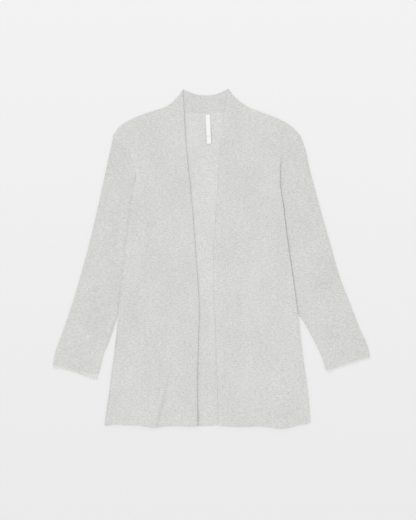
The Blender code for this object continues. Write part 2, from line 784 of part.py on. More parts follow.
def make_labels(material):
    """The bare neck label, and the longer tab that shows below it."""
    rest = CLOTH + RIB_RISE + SEAM_GAP

    def label(share):
        climb_from, climb_to = LABEL_OVER_TAB
        climb = (LABEL_CLOTH + SEAM_GAP) * ease((share - climb_from) / (climb_to - climb_from))
        return rest + climb + LABEL_CURL * ease((share - LABEL_CURLS_FROM) / (1 - LABEL_CURLS_FROM))

    def tab(share):
        return rest + TAB_CURL * ease((share - TAB_CURLS_FROM) / (1 - TAB_CURLS_FROM))

    return [
        make_strip("neck_label", LABEL_TOP, (LABEL_WIDTH, LABEL_LENGTH), label, material),
        make_strip("size_tab", TAB_TOP, (TAB_WIDTH, TAB_LENGTH), tab, material),
    ]


def finish(name, colour, roughness):
    """A plain material."""
    material = bpy.data.materials.new(name)
    material.use_nodes = True
    shader = material.node_tree.nodes["Principled BSDF"]
    shader.inputs["Base Color"].default_value = colour
    shader.inputs["Roughness"].default_value = roughness
    shader.inputs["Metallic"].default_value = 0.0
    return material


def settle(pieces):
    """Turns the pieces to metres, centred over the origin with their lowest point at z = 0."""
    for piece in pieces:
        piece.data.transform(Matrix.Scale(METRES, 4))
    corners = np.array([tuple(v.co) for piece in pieces for v in piece.data.vertices])
    low, high = corners.min(axis=0), corners.max(axis=0)
    middle = (low + high) / 2
    for piece in pieces:
        piece.data.transform(Matrix.Translation((-middle[0], -middle[1], -low[2])))


for old in list(bpy.data.objects):
    bpy.data.objects.remove(old, do_unlink=True)

TUCKS = [tuck_outline(RIGHT), tuck_outline(LEFT)]
TUCK_EDGES = [curve(RIGHT.tuck), curve(LEFT.tuck)]
SEWN = [
    curve(line) for side in (RIGHT, LEFT)
    for line in (side.collar, side.shoulder, side.armhole, side.seam)
]

knit = finish("heather rib knit", CLOTH_COLOUR, CLOTH_ROUGHNESS)
inside_knit = finish("heather rib knit inside", INSIDE_COLOUR, CLOTH_ROUGHNESS)
frill = finish("pale edging", EDGING_COLOUR, CLOTH_ROUGHNESS)
tape = finish("white label tape", LABEL_COLOUR, LABEL_ROUGHNESS)

settle([
    make_back(inside_knit),
    make_back_collar(inside_knit),
    make_front("right_front", RIGHT, knit),
    make_front("left_front", LEFT, knit),
    make_sleeve("right_sleeve", RIGHT, knit),
    make_sleeve("left_sleeve", LEFT, knit),
    make_edging("right_cuff_edging", RIGHT, frill),
    make_edging("left_cuff_edging", LEFT, frill),
    *make_labels(tape),
])
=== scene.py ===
"""Long, open-front cardigan in heather rib knit, laid flat on its back with its front up.

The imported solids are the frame. Each layer of cloth is made here as a thin, finely ribbed shell on
the solid that it stands for, with its folds, seams and frills. Sizes are in millimetres until a mesh
is stored in metres: x runs to the wearer's left, y from the hem to the collar, z up from the ground.
"""

from __future__ import annotations

import logging
import math
from dataclasses import dataclass, field
from enum import Enum
from typing import Any, Iterable, Sequence

import bpy
import numpy as np
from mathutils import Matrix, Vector
from mathutils.bvhtree import BVHTree
from mathutils.geometry import delaunay_2d_cdt

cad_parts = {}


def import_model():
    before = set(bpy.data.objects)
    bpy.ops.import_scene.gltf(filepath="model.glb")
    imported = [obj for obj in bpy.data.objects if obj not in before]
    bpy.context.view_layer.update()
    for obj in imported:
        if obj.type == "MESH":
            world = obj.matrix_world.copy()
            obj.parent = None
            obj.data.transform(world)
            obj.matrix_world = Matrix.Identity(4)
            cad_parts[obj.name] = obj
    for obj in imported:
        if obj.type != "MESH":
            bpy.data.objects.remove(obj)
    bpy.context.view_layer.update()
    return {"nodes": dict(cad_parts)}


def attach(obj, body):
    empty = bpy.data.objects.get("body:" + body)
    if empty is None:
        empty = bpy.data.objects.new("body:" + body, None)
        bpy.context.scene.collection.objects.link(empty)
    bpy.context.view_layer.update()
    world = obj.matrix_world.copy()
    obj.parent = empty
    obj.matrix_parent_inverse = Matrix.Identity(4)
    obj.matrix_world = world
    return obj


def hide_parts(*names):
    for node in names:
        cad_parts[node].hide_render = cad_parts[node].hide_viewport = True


LOG = logging.getLogger("cardigan")

MM = 0.001
BODY = "root"

# The photograph's frame on the ground
PHOTO_SIZE = (416, 520)
PHOTO_SCALE = 2.3  # mm of the garment to a pixel
PHOTO_CENTRE = (-8.06, -2.7)
CAMERA_HEIGHT = 3000.0
SENSOR = 36.0

# How far the garment's own frame, with y from the hem and x from its middle, lies from the origin
MOVED = (-10.36, -384.5)

# Ribs
CROWN_X = MOVED[0]  # a rib's crest runs up the garment's own middle
RIB_PITCH = 5.8
RIB_ASLANT = 1.04  # how much wider the sleeves' ribs are, measured level
RIB_RISE = 0.42
RIB_POWER = 1.5  # how narrow the valleys are beside the crests
QUARTERS = 4  # columns of corners to a rib
RIGHT_LEAN = math.radians(15.7)  # how far the sleeves' ribs lean from the body's
LEFT_LEAN = math.radians(-16.3)

# Reading the solids
ABOVE = 60.0  # the height from which they are read
UP_FACING = 0.7  # least upward share of a top face's normal
GRAIN = 0.01  # corners nearer to each other than this are one
TINY = 1e-7
TURNS_BACK = -0.95  # cosine under which an outline turns back on itself

# Meshing
OUTLINE_STEP = 4.0
RIM_INSET = 0.9  # how far inside the edge the row for the rounded rim lies
RIM_CLEAR = 0.8  # the share of that inset that its points keep
INNER_CLEAR = 1.6
SMOOTH_ANGLE = math.radians(55)
CORD_SIDES = 8
CORD_TIP = 0.35  # how thick a cord is at its ends
CREASE_FADE = 0.4  # the share of a crease over which an end fades

# Unevenness
RIPPLES = 6
RIPPLE_SPAN = (48.0, 165.0)
RIPPLE_EVEN = 4.0

# Seams
SEAM_STEP = 4.0
SEAM_EVEN = 2  # points to each side over which a seam's height is evened out
EDGE_LOOK = 3.0  # how far inside the edge that height is read

Points = np.ndarray
Pair = tuple[float, float]
Triple = tuple[float, float, float]


class Hand(Enum):
    """The wearer's side, and the direction of x towards it."""

    RIGHT = -1
    LEFT = 1


# Shader building

NOISE_ROUGHNESS = 0.55


def toned(shade: Sequence[float], share: float) -> tuple[float, ...]:
    """A colour made darker or lighter, up to white."""
    return tuple(min(1.0, value * share) for value in shade)


class Signal:
    """A node's output that numbers and other outputs can be added to, taken from and multiplied by."""

    def __init__(self, finish: "NodeFinish", socket: bpy.types.NodeSocket) -> None:
        """Wraps one socket of a finish."""
        self.finish = finish
        self.socket = socket

    def maths(self, operation: str, *others: "Signal | float", swapped: bool = False) -> "Signal":
        """Adds a Math node.

        Args:
            operation: The Math node's operation.
            others: The further values or outputs.
            swapped: Whether the first of the others comes before this one.

        Returns:
            The node's output.
        """
        terms = [self, *others]
        if swapped:
            terms[0], terms[1] = terms[1], terms[0]
        node = self.finish.node("ShaderNodeMath", {"operation": operation}, dict(enumerate(terms)))
        return Signal(self.finish, node.outputs[0])

    def __add__(self, other: "Signal | float") -> "Signal":
        """This plus the other."""
        return self.maths("ADD", other)

    __radd__ = __add__

    def __mul__(self, other: "Signal | float") -> "Signal":
        """This times the other."""
        return self.maths("MULTIPLY", other)

    __rmul__ = __mul__

    def __sub__(self, other: "Signal | float") -> "Signal":
        """This less the other."""
        return self.maths("SUBTRACT", other)

    def __rsub__(self, other: "Signal | float") -> "Signal":
        """The other less this."""
        return self.maths("SUBTRACT", other, swapped=True)

    def __truediv__(self, other: "Signal | float") -> "Signal":
        """This over the other."""
        return self.maths("DIVIDE", other)

    def __rtruediv__(self, other: "Signal | float") -> "Signal":
        """The other over this."""
        return self.maths("DIVIDE", other, swapped=True)

    def __abs__(self) -> "Signal":
        """The size of this without its sign."""
        return self.maths("ABSOLUTE")

    def fraction(self) -> "Signal":
        """What is left of this over its whole number."""
        return self.maths("FRACT")

    def cosine(self) -> "Signal":
        """The cosine of this in radians."""
        return self.maths("COSINE")


class NodeFinish:
    """One material, and the only place where its nodes are added."""

    def __init__(self, name: str) -> None:
        """Starts a material with its Principled shader.

        Args:
            name: The material's name.
        """
        self.material = bpy.data.materials.new(name)
        self.material.use_nodes = True
        self.tree = self.material.node_tree
        self.shader = self.tree.nodes["Principled BSDF"]

    def node(
        self, kind: str, settings: dict[str, Any] | None = None, sockets: dict[Any, Any] | None = None
    ) -> bpy.types.Node:
        """Adds a node.

        Args:
            kind: The node's type.
            settings: Its properties, which are set first.
            sockets: Values or outputs for its inputs, by name or number.

        Returns:
            The node.
        """
        made = self.tree.nodes.new(kind)
        for key, value in (settings or {}).items():
            setattr(made, key, value)
        for key, value in (sockets or {}).items():
            if isinstance(value, Signal):
                self.tree.links.new(value.socket, made.inputs[key])
            else:
                made.inputs[key].default_value = value
        return made

    def out(self, node: bpy.types.Node, key: str | int = 0) -> Signal:
        """One output of a node."""
        return Signal(self, node.outputs[key])

    def place(self, turn: float = 0.0) -> Signal:
        """Place on the garment in millimetres.

        Args:
            turn: How far it is turned about z, so that y runs along the ribs.

        Returns:
            The place.
        """
        where = self.node("ShaderNodeTexCoord")
        turned = self.node(
            "ShaderNodeMapping",
            {"vector_type": "POINT"},
            {"Vector": self.out(where, "Object"), "Rotation": (0, 0, turn), "Scale": (1 / MM,) * 3},
        )
        return self.out(turned)

    def apart(self, place: Signal) -> tuple[Signal, Signal, Signal]:
        """The x, y and z of a place."""
        split = self.node("ShaderNodeSeparateXYZ", None, {0: place})
        return self.out(split, 0), self.out(split, 1), self.out(split, 2)

    def noise(self, place: Signal, size: Sequence[float], detail: float = 2.0) -> Signal:
        """Smooth noise from 0 to 1.

        Args:
            place: Where it is read, in millimetres.
            size: How long and wide its flecks are, in millimetres.
            detail: How many finer layers it has.

        Returns:
            The noise.
        """
        scaled = self.node(
            "ShaderNodeMapping",
            {"vector_type": "POINT"},
            {"Vector": place, "Scale": tuple(1 / s for s in size)},
        )
        made = self.node(
            "ShaderNodeTexNoise",
            {"noise_dimensions": "3D"},
            {"Vector": self.out(scaled), "Scale": 1.0, "Detail": detail, "Roughness": NOISE_ROUGHNESS},
        )
        return self.out(made, "Fac")

    def mixed(self, share: Signal, first: Sequence[float], second: Sequence[float]) -> Signal:
        """A colour between two others.

        Args:
            share: From 0, for the first, to 1, for the second.
            first: The first colour.
            second: The second colour.

        Returns:
            The colour.
        """
        made = self.node(
            "ShaderNodeMix",
            {"data_type": "RGBA"},
            {0: share, 6: (*first, 1.0), 7: (*second, 1.0)},
        )
        return self.out(made, 2)

    def bump(self, height: Signal, distance: float, strength: float) -> Signal:
        """A normal from a height.

        Args:
            height: From 0 to 1.
            distance: Millimetres that 1 stands for.
            strength: How much of it shows.

        Returns:
            The normal.
        """
        made = self.node(
            "ShaderNodeBump", None, {"Height": height, "Distance": distance * MM, "Strength": strength}
        )
        return self.out(made)

    def dress(self, **sockets: Any) -> bpy.types.Material:
        """Sets the shader's sockets.

        Args:
            sockets: Values or outputs by the socket's name, with underscores for its spaces.

        Returns:
            The material.
        """
        for key, value in sockets.items():
            socket = self.shader.inputs[key.replace("_", " ").title().replace("Ior", "IOR")]
            if isinstance(value, Signal):
                self.tree.links.new(value.socket, socket)
            else:
                socket.default_value = value
        return self.material


@dataclass(frozen=True)
class HeatherKnit:
    """Fine rib knit in mixed light and dark fibres, with small loops in columns and a soft nap.

    Sizes and depths are in millimetres. Painted shade makes the colour darker in the hollows between the
    loops and lighter on their tops, and darkens the knit towards the hem at hem_y by the painted hem
    shade.
    """

    name: str
    shade: Triple
    turn: float = 0.0
    contrast: float = 0.23
    spread: float = 2.2
    wale: float = 1.45
    course: float = 1.15
    slant: float = 1.1
    loop_share: float = 0.55
    # painted shade: share of the colour made darker in the loops' hollows and lighter on their tops
    painted_loop_shade: float = 0.1
    loop_depth: float = 0.22
    fibre_size: Triple = (6.5, 2.2, 2.2)
    fibre_share: float = 0.5
    fleck_size: Triple = (3.4, 1.7, 1.7)
    fleck_share: float = 0.38
    cloud_size: Triple = (70.0, 110.0, 70.0)
    cloud_share: float = 0.12
    nap_size: float = 0.5
    nap_share: float = 0.25
    roughness: float = 0.84
    roughness_range: float = 0.12
    sheen: float = 0.12
    # painted shade: how much darker the knit is made towards the hem
    painted_hem_shade: float = 0.0
    hem_y: float = -340.0

    def material(self) -> bpy.types.Material:
        """Builds the material.

        Returns:
            The knit's material.
        """
        finish = NodeFinish(self.name)
        place = finish.place(self.turn)
        across, along, _ = finish.apart(place)
        column = abs((across / self.wale).fraction() - 0.5)
        loops = ((along / self.course + column * self.slant) * math.tau).cosine() * 0.5 + 0.5
        rounded = 1 - column * column * 4
        stitch = loops * self.loop_share + rounded * (1 - self.loop_share)
        fibres = finish.noise(place, self.fibre_size, 3.0)
        flecks = finish.noise(place, self.fleck_size, 1.0)
        cloudy = finish.noise(place, self.cloud_size, 1.0)
        melange = fibres * self.fibre_share + flecks * self.fleck_share + cloudy * self.cloud_share
        # painted shade follows the loops' relief: darker in their hollows, lighter on their tops
        shown = (melange - 0.5) * self.spread + 0.5 + (stitch - 0.5) * self.painted_loop_shade
        # painted shade: the colour is darkened towards the hem
        if self.painted_hem_shade:
            low = (along / self.hem_y).maths("MAXIMUM", 0.0).maths("MINIMUM", 1.0)
            shown = shown - low * self.painted_hem_shade
        nap = finish.noise(place, (self.nap_size,) * 3, 2.0)
        dark, light = toned(self.shade, 1 - self.contrast), toned(self.shade, 1 + self.contrast)
        relief = stitch * (1 - self.nap_share) + nap * self.nap_share
        return finish.dress(
            base_color=finish.mixed(shown, dark, light),
            roughness=nap * self.roughness_range + self.roughness,
            normal=finish.bump(relief, self.loop_depth, 0.5),
            sheen_weight=self.sheen,
            sheen_roughness=0.5,
            specular_ior_level=0.2,
        )


@dataclass(frozen=True)
class ThreadEdge:
    """Close overlock thread, wound over a rolled edge. Sizes and depths are in millimetres."""

    name: str
    shade: Triple
    turn: float = 0.0
    spacing: float = 1.1
    # painted shade: share of the colour made darker between the wraps and lighter on them
    painted_wrap_share: float = 0.45
    wrap_depth: float = 0.3
    fleck_size: float = 1.6
    darkest: float = 0.84
    lightest: float = 1.1
    roughness: float = 0.7
    roughness_range: float = 0.15

    def material(self) -> bpy.types.Material:
        """Builds the material.

        Returns:
            The thread's material.
        """
        finish = NodeFinish(self.name)
        place = finish.place(self.turn)
        across, _, _ = finish.apart(place)
        wraps = (across * (math.tau / self.spacing)).cosine() * 0.5 + 0.5
        fleck = finish.noise(place, (self.fleck_size,) * 3, 2.0)
        # painted shade follows the wraps' relief: darker between them, lighter on their tops
        shown = wraps * self.painted_wrap_share + fleck * (1 - self.painted_wrap_share)
        dark, light = toned(self.shade, self.darkest), toned(self.shade, self.lightest)
        return finish.dress(
            base_color=finish.mixed(shown, dark, light),
            roughness=fleck * self.roughness_range + self.roughness,
            normal=finish.bump(wraps, self.wrap_depth, 0.6),
            sheen_weight=0.1,
            specular_ior_level=0.25,
        )


@dataclass(frozen=True)
class WovenTape:
    """Bare, close-woven white tape with a faint sheen. Sizes and depths are in millimetres."""

    name: str
    shade: Triple
    thread: float = 0.35
    weave_depth: float = 0.08
    fleck_size: Triple = (4.0, 1.0, 1.0)
    darkest: float = 0.95
    roughness: float = 0.5
    roughness_range: float = 0.1

    def material(self) -> bpy.types.Material:
        """Builds the material.

        Returns:
            The tape's material.
        """
        finish = NodeFinish(self.name)
        place = finish.place()
        across, along, _ = finish.apart(place)
        warp = (across * (math.tau / self.thread)).cosine()
        weft = (along * (math.tau / self.thread)).cosine()
        weave = warp * weft * 0.5 + 0.5
        fleck = finish.noise(place, self.fleck_size, 2.0)
        dark = toned(self.shade, self.darkest)
        return finish.dress(
            # painted shade: the colour follows the weave's relief, darker in its hollows
            base_color=finish.mixed(weave * 0.5 + fleck * 0.5, dark, self.shade),
            roughness=fleck * self.roughness_range + self.roughness,
            normal=finish.bump(weave, self.weave_depth, 0.5),
            sheen_weight=0.1,
            specular_ior_level=0.35,
        )


@dataclass(frozen=True)
class PaleGround:
    """The plain floor, with painted light: lighter beyond the collar, as where more light falls, and
    glowing by itself to soften its shadows.
    """

    name: str = "pale_ground"
    # painted light: the floor's shade towards the hem and beyond the collar
    near: float = 0.816
    far: float = 0.880
    depth: float = 1200.0
    # painted glow: the share of the floor's colour that it emits
    painted_glow: float = 0.55
    lit: float = 1.015
    roughness: float = 0.9

    def material(self) -> bpy.types.Material:
        """Builds the material.

        Returns:
            The floor's material.
        """
        finish = NodeFinish(self.name)
        _, along, _ = finish.apart(finish.place())
        # painted light: the floor is made lighter towards the collar
        share = (along / self.depth + 0.5).maths("MINIMUM", 1.0).maths("MAXIMUM", 0.0)
        # painted glow: part of the colour is emitted, so that shadows on the floor are softer
        matt, glowing = 1 - self.painted_glow, self.painted_glow * self.lit
        return finish.dress(
            base_color=finish.mixed(share, (self.near * matt,) * 3, (self.far * matt,) * 3),
            emission_color=finish.mixed(share, (self.near * glowing,) * 3, (self.far * glowing,) * 3),
            emission_strength=1.0,
            roughness=self.roughness,
            specular_ior_level=0.1,
        )


# Shapes


def ease(share: Points) -> Points:
    """A soft step from 0 to 1."""
    share = np.clip(share, 0.0, 1.0)
    return share * share * (3 - 2 * share)


def spaced(line: Points, step: float, closed: bool = True) -> Points:
    """A line with points added so that no two are further apart than a step.

    Args:
        line: Points in order.
        step: The greatest distance.
        closed: Whether the last point joins the first.

    Returns:
        The line with its own points kept.
    """
    ends = np.roll(line, -1, axis=0) if closed else line[1:]
    grown = []
    for here, there in zip(line, ends):
        pieces = max(1, math.ceil(np.linalg.norm(there - here) / step))
        for number in range(pieces):
            grown.append(here + (there - here) * number / pieces)
    if not closed:
        grown.append(line[-1])
    return np.array(grown)


def piece_lengths(line: Points) -> Points:
    """How far each point of an open line is from the next."""
    return np.linalg.norm(np.diff(line, axis=0), axis=1)


def on_line(line: Points, reach: float) -> Points:
    """The place on an open line at a distance from its start, or its end past that."""
    passed = np.append(0.0, np.cumsum(piece_lengths(line)))
    return np.array([np.interp(reach, passed, line[:, k]) for k in (0, 1)])


def stretch(line: Points, start: Points, end: Points) -> list[int]:
    """Finds the part of a closed line that leads from near one place to near another.

    Args:
        line: The line's points in order.
        start: The first place.
        end: The last place.

    Returns:
        Numbers of the points on the way, in the line's own order.
    """
    first, last = (int(np.linalg.norm(line - place, axis=1).argmin()) for place in (start, end))
    count = len(line)
    return [(first + k) % count for k in range((last - first) % count + 1)]


def to_line(points: Points, line: Points) -> Points:
    """How far each point is from an open line.

    Args:
        points: The points.
        line: The line's points in order.

    Returns:
        The distances.
    """
    best = np.full(len(points), np.inf)
    for start, end in zip(line[:-1], line[1:]):
        along = end - start
        length = along @ along
        if length < TINY:
            continue
        share = np.clip(((points - start) @ along) / length, 0, 1)
        best = np.minimum(best, np.linalg.norm(points - start - share[:, None] * along, axis=1))
    return best


def inside(points: Points, outline: Points) -> Points:
    """Which points lie within a closed outline.

    Args:
        points: The points.
        outline: The outline's points in order.

    Returns:
        True for each point that does.
    """
    x, y = points.T
    found = np.zeros(len(points), bool)
    for (x0, y0), (x1, y1) in zip(outline, np.roll(outline, -1, axis=0)):
        if y0 != y1:
            crosses = (y0 > y) != (y1 > y)
            found ^= crosses & (x < (x1 - x0) * (y - y0) / (y1 - y0) + x0)
    return found


def tangents(line: Points, closed: bool) -> Points:
    """Directions along a line at its points.

    Args:
        line: Points in order.
        closed: Whether the last point joins the first.

    Returns:
        The directions, which aren't of one length.
    """
    if closed:
        return np.roll(line, -1, axis=0) - np.roll(line, 1, axis=0)
    return np.gradient(line, axis=0)


def outward(line: Points, closed: bool = True) -> Points:
    """Directions to the right of a line at its points: outwards on a counter-clockwise outline.

    Args:
        line: Points in order.
        closed: Whether the last point joins the first.

    Returns:
        The directions, of length 1.
    """
    along = tangents(line, closed)
    side = np.column_stack([along[:, 1], -along[:, 0]])
    return side / np.maximum(np.linalg.norm(side, axis=1), TINY)[:, None]


def unspiked(line: Points) -> Points:
    """Takes the points out at which a line turns back on itself.

    Args:
        line: Points of a closed line in order.

    Returns:
        The other points.
    """
    before = line - np.roll(line, 1, axis=0)
    after = np.roll(line, -1, axis=0) - line
    lengths = np.linalg.norm(before, axis=1) * np.linalg.norm(after, axis=1)
    return line[(before * after).sum(axis=1) > TURNS_BACK * lengths]


def rib_profile(across: Points) -> Points:
    """Height of a rib from 0 in its narrow valley to 1 on its broad crest."""
    return 1 - np.abs(np.sin(math.pi * across / RIB_PITCH)) ** RIB_POWER


def grid(across: Points, along: Points) -> Points:
    """Every place with one of the given x and one of the given y."""
    return np.stack(np.meshgrid(across, along), axis=-1).reshape(-1, 2)


def ripple(points: Points, seed: int) -> Points:
    """Soft uneven rise and fall of cloth that was smoothed by hand, from about -1 to 1.

    Args:
        points: Places on the garment.
        seed: Sets the pattern.

    Returns:
        The heights.
    """
    draw = np.random.default_rng(seed)
    height = np.zeros(len(points))
    for wave in draw.uniform(*RIPPLE_SPAN, RIPPLES):
        angle, phase = draw.uniform(0, math.pi), draw.uniform(0, math.tau)
        run = points[:, 0] * math.cos(angle) + points[:, 1] * math.sin(angle)
        height += np.sin(math.tau * run / wave + phase)
    return height / RIPPLE_EVEN


@dataclass(frozen=True)
class Nudge:
    """A small shift of an outline, which fades out round its middle."""

    x: float
    y: float
    across: float
    up: float
    reach: float

    def moves(self, line: Points) -> Points:
        """Shifts the points of a line that are near the middle.

        Args:
            line: The line's points.

        Returns:
            All its points.
        """
        away = np.linalg.norm(line - np.array([self.x, self.y]), axis=1)
        share = 0.5 + 0.5 * np.cos(math.pi * np.clip(away / self.reach, 0, 1))
        return line + share[:, None] * np.array([self.across, self.up])


@dataclass(frozen=True)
class Crease:
    """A soft ridge or, with a negative rise, a trough, between two points."""

    x0: float
    y0: float
    x1: float
    y1: float
    width: float
    rise: float
    runs_out: bool = False

    def height(self, points: Points) -> Points:
        """Height that the crease adds. It fades at its ends, unless it runs out at an edge.

        Args:
            points: Places.

        Returns:
            The heights.
        """
        start, end = np.array([self.x0, self.y0]), np.array([self.x1, self.y1])
        along = end - start
        length = np.linalg.norm(along)
        share = (points - start) @ along / length**2
        off = np.abs((points - start) @ np.array([along[1], -along[0]])) / length
        fades = ease(share / CREASE_FADE)
        if not self.runs_out:
            fades = fades * ease((1 - share) / CREASE_FADE)
        return self.rise * fades * (0.5 + 0.5 * np.cos(math.pi * np.clip(off / self.width, 0, 1)))


def deselect_all() -> None:
    """Leaves nothing selected."""
    if bpy.context.mode != "OBJECT":
        bpy.ops.object.mode_set(mode="OBJECT")
    bpy.ops.object.select_all(action="DESELECT")


def select_only(piece: bpy.types.Object) -> None:
    """Selects one piece and makes it active.

    Args:
        piece: The piece.
    """
    deselect_all()
    piece.select_set(True)
    bpy.context.view_layer.objects.active = piece


def shaped(piece: bpy.types.Object, kind: str, **settings: Any) -> bpy.types.Object:
    """Adds a modifier to a piece and applies it.

    Args:
        piece: The piece.
        kind: The modifier's type.
        settings: Its properties.

    Returns:
        The piece.
    """
    select_only(piece)
    modifier = piece.modifiers.new(kind.lower(), kind)
    for key, value in settings.items():
        setattr(modifier, key, value)
    bpy.ops.object.modifier_apply(modifier=modifier.name)
    return piece


def smoothed(piece: bpy.types.Object, angle: float = SMOOTH_ANGLE) -> bpy.types.Object:
    """Shades a piece smooth up to an angle.

    Args:
        piece: The piece.
        angle: The angle in radians.

    Returns:
        The piece.
    """
    select_only(piece)
    bpy.ops.object.shade_smooth_by_angle(angle=angle)
    return piece


def mesh_piece(name: str, corners: Iterable, faces: Iterable) -> bpy.types.Object:
    """A piece from corners in millimetres and faces.

    Args:
        name: The piece's name.
        corners: Places.
        faces: Numbers of the corners, turning left as seen from outside.

    Returns:
        The piece.
    """
    mesh = bpy.data.meshes.new(name)
    stored = (np.array(list(corners), float) * MM).tolist()
    mesh.from_pydata(stored, [], [tuple(int(i) for i in face) for face in faces])
    mesh.update()
    piece = bpy.data.objects.new(name, mesh)
    bpy.context.scene.collection.objects.link(piece)
    return piece


def face_out(piece: bpy.types.Object) -> None:
    """Turns a piece's faces outwards.

    Args:
        piece: The piece.
    """
    select_only(piece)
    bpy.ops.object.mode_set(mode="EDIT")
    bpy.ops.mesh.select_all(action="SELECT")
    bpy.ops.mesh.normals_make_consistent(inside=False)
    bpy.ops.object.mode_set(mode="OBJECT")


def cord(name: str, path: Points, radius: float, closed: bool = False) -> bpy.types.Object:
    """A round cord along a path in millimetres.

    Args:
        name: The piece's name.
        path: Points x, y, z in order.
        radius: The cord's radius.
        closed: Whether the last point joins the first. Otherwise both ends are thinner and capped.

    Returns:
        The piece.
    """
    along = tangents(path, closed)
    along /= np.linalg.norm(along, axis=1)[:, None]
    side = np.cross(along, (0.0, 0.0, 1.0))
    side /= np.maximum(np.linalg.norm(side, axis=1), TINY)[:, None]
    lifted = np.cross(side, along)
    count = len(path)
    corners, faces = [], []
    for number, (centre, out, up) in enumerate(zip(path, side, lifted)):
        at_end = not closed and number in (0, count - 1)
        thick = radius * (CORD_TIP if at_end else 1.0)
        for angle in np.arange(CORD_SIDES) * math.tau / CORD_SIDES:
            corners.append(centre + thick * (out * math.cos(angle) + up * math.sin(angle)))
    for row in range(count if closed else count - 1):
        here, there = row * CORD_SIDES, (row + 1) % count * CORD_SIDES
        for k in range(CORD_SIDES):
            other = (k + 1) % CORD_SIDES
            faces.append((here + k, here + other, there + other, there + k))
    if not closed:
        faces.append(tuple(range(CORD_SIDES))[::-1])
        faces.append(tuple(range((count - 1) * CORD_SIDES, count * CORD_SIDES)))
    piece = mesh_piece(name, corners, faces)
    face_out(piece)
    return smoothed(piece)


def dressed(piece: bpy.types.Object, finish: bpy.types.Material) -> bpy.types.Object:
    """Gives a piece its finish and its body.

    Args:
        piece: The piece.
        finish: Its material.

    Returns:
        The piece.
    """
    piece.data.materials.append(finish)
    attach(piece, BODY)
    return piece


class Solid:
    """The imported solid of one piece, read as an outline and as a height over the ground."""

    def __init__(self, node: bpy.types.Object, nudges: Sequence[Nudge] = ()) -> None:
        """Reads a node's mesh in millimetres, with its doubled corners joined.

        Args:
            node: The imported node.
            nudges: How the outline of its dressed piece differs from its own.
        """
        self.nudges = nudges
        mesh = node.data
        places = np.array([corner.co[:] for corner in mesh.vertices]) / MM
        _, first, which = np.unique(
            np.round(places / GRAIN).astype(np.int64), axis=0, return_index=True, return_inverse=True
        )
        which = which.ravel()
        self.corners = places[first]
        self.faces = [tuple(int(which[i]) for i in face.vertices) for face in mesh.polygons]
        self.faces = [face for face in self.faces if len(set(face)) == 3]
        self.tree = BVHTree.FromPolygons(self.corners.tolist(), self.faces)

    def outline(self) -> Points:
        """The outline of the top, counter-clockwise.

        Returns:
            Its points.
        """
        after: dict[int, int] = {}
        edges = set()
        for a, b, c in self.faces:
            first, second, third = self.corners[[a, b, c]]
            normal = np.cross(second - first, third - first)
            if normal[2] > UP_FACING * np.linalg.norm(normal):
                edges |= {(a, b), (b, c), (c, a)}
        for a, b in edges:
            if (b, a) not in edges:
                after[a] = b
        best: list[int] = []
        best_area = 0.0
        while after:
            start, loop = next(iter(after)), []
            here = start
            while here in after:
                loop.append(here)
                here = after.pop(here)
            x, y = self.corners[loop][:, 0], self.corners[loop][:, 1]
            area = (x * np.roll(y, -1) - y * np.roll(x, -1)).sum() / 2
            if area > best_area:
                best, best_area = loop, area
        return self.nudged(spaced(unspiked(self.corners[best][:, :2]), OUTLINE_STEP))

    def nudged(self, places: Points) -> Points:
        """Where places on the solid's edge lie once it is nudged.

        Args:
            places: The places.

        Returns:
            The nudged places.
        """
        for nudge in self.nudges:
            places = nudge.moves(places)
        return places

    def run(self, start: Pair, end: Pair) -> Points:
        """The outline from near one place to near another, the shorter way round.

        Args:
            start: The first place, on the solid.
            end: The last place, on the solid.

        Returns:
            The points on the way.
        """
        line = self.outline()
        first, last = self.nudged(np.array([start, end]))
        ahead, back = stretch(line, first, last), stretch(line, last, first)[::-1]
        return line[min(ahead, back, key=lambda way: piece_lengths(line[way]).sum())]

    def top(self, x: float, y: float) -> float | None:
        """Height of the top at a point, or None beside the solid."""
        hit = self.tree.ray_cast(Vector((x, y, ABOVE)), Vector((0.0, 0.0, -1.0)))[0]
        return None if hit is None else hit.z

    def level(self, points: Points, reach: float = 6.0) -> Points:
        """Height of the top without its ribs.

        Args:
            points: Places.
            reach: How far along the ribs it is evened out.

        Returns:
            Heights, each the mean over one rib's width.
        """
        heights = np.empty(len(points))
        sides = (np.arange(QUARTERS) - (QUARTERS - 1) / 2) * RIB_PITCH / QUARTERS
        for number, (x, y) in enumerate(points):
            found = [self.top(x + dx, y + dy) for dx in sides for dy in (-reach, 0.0, reach)]
            found = [height for height in found if height is not None]
            if found:
                heights[number] = sum(found) / len(found)
            else:
                heights[number] = self.tree.find_nearest(Vector((x, y, ABOVE)))[0].z
        return heights


class Fill:
    """Triangles over an outline, through rows and columns of inner points."""

    def __init__(self, outline: Points, inner: Points) -> None:
        """Joins the outline, a row just inside it for its rounded rim, and the inner points.

        Args:
            outline: The outline's points, counter-clockwise.
            inner: Points of which those well within the outline are used.
        """
        self.ring = spaced(outline, OUTLINE_STEP)
        rim = self.ring - outward(self.ring) * RIM_INSET
        closed = np.vstack([self.ring, self.ring[:1]])
        rim = rim[inside(rim, self.ring) & (to_line(rim, closed) > RIM_CLEAR * RIM_INSET)]
        inner = inner[inside(inner, self.ring)]
        inner = inner[to_line(inner, closed) > INNER_CLEAR]
        self.points = np.vstack([self.ring, rim, inner])
        self.from_edge = to_line(self.points, closed)
        self.faces = self.joined()

    def joined(self) -> list[tuple[int, int, int]]:
        """The triangles, each turning left.

        Returns:
            Numbers of the points.
        """
        ring = [list(range(len(self.ring)))]
        given = [Vector(point) for point in self.points.tolist()]
        _, _, faces, sources, _, _ = delaunay_2d_cdt(given, [], ring, 1, TINY)
        turned = []
        for face in faces:
            a, b, c = (sources[i][0] for i in face)
            (ax, ay), (bx, by), (cx, cy) = self.points[[a, b, c]]
            left = (bx - ax) * (cy - ay) - (by - ay) * (cx - ax)
            turned.append((a, b, c) if left > 0 else (a, c, b))
        return turned


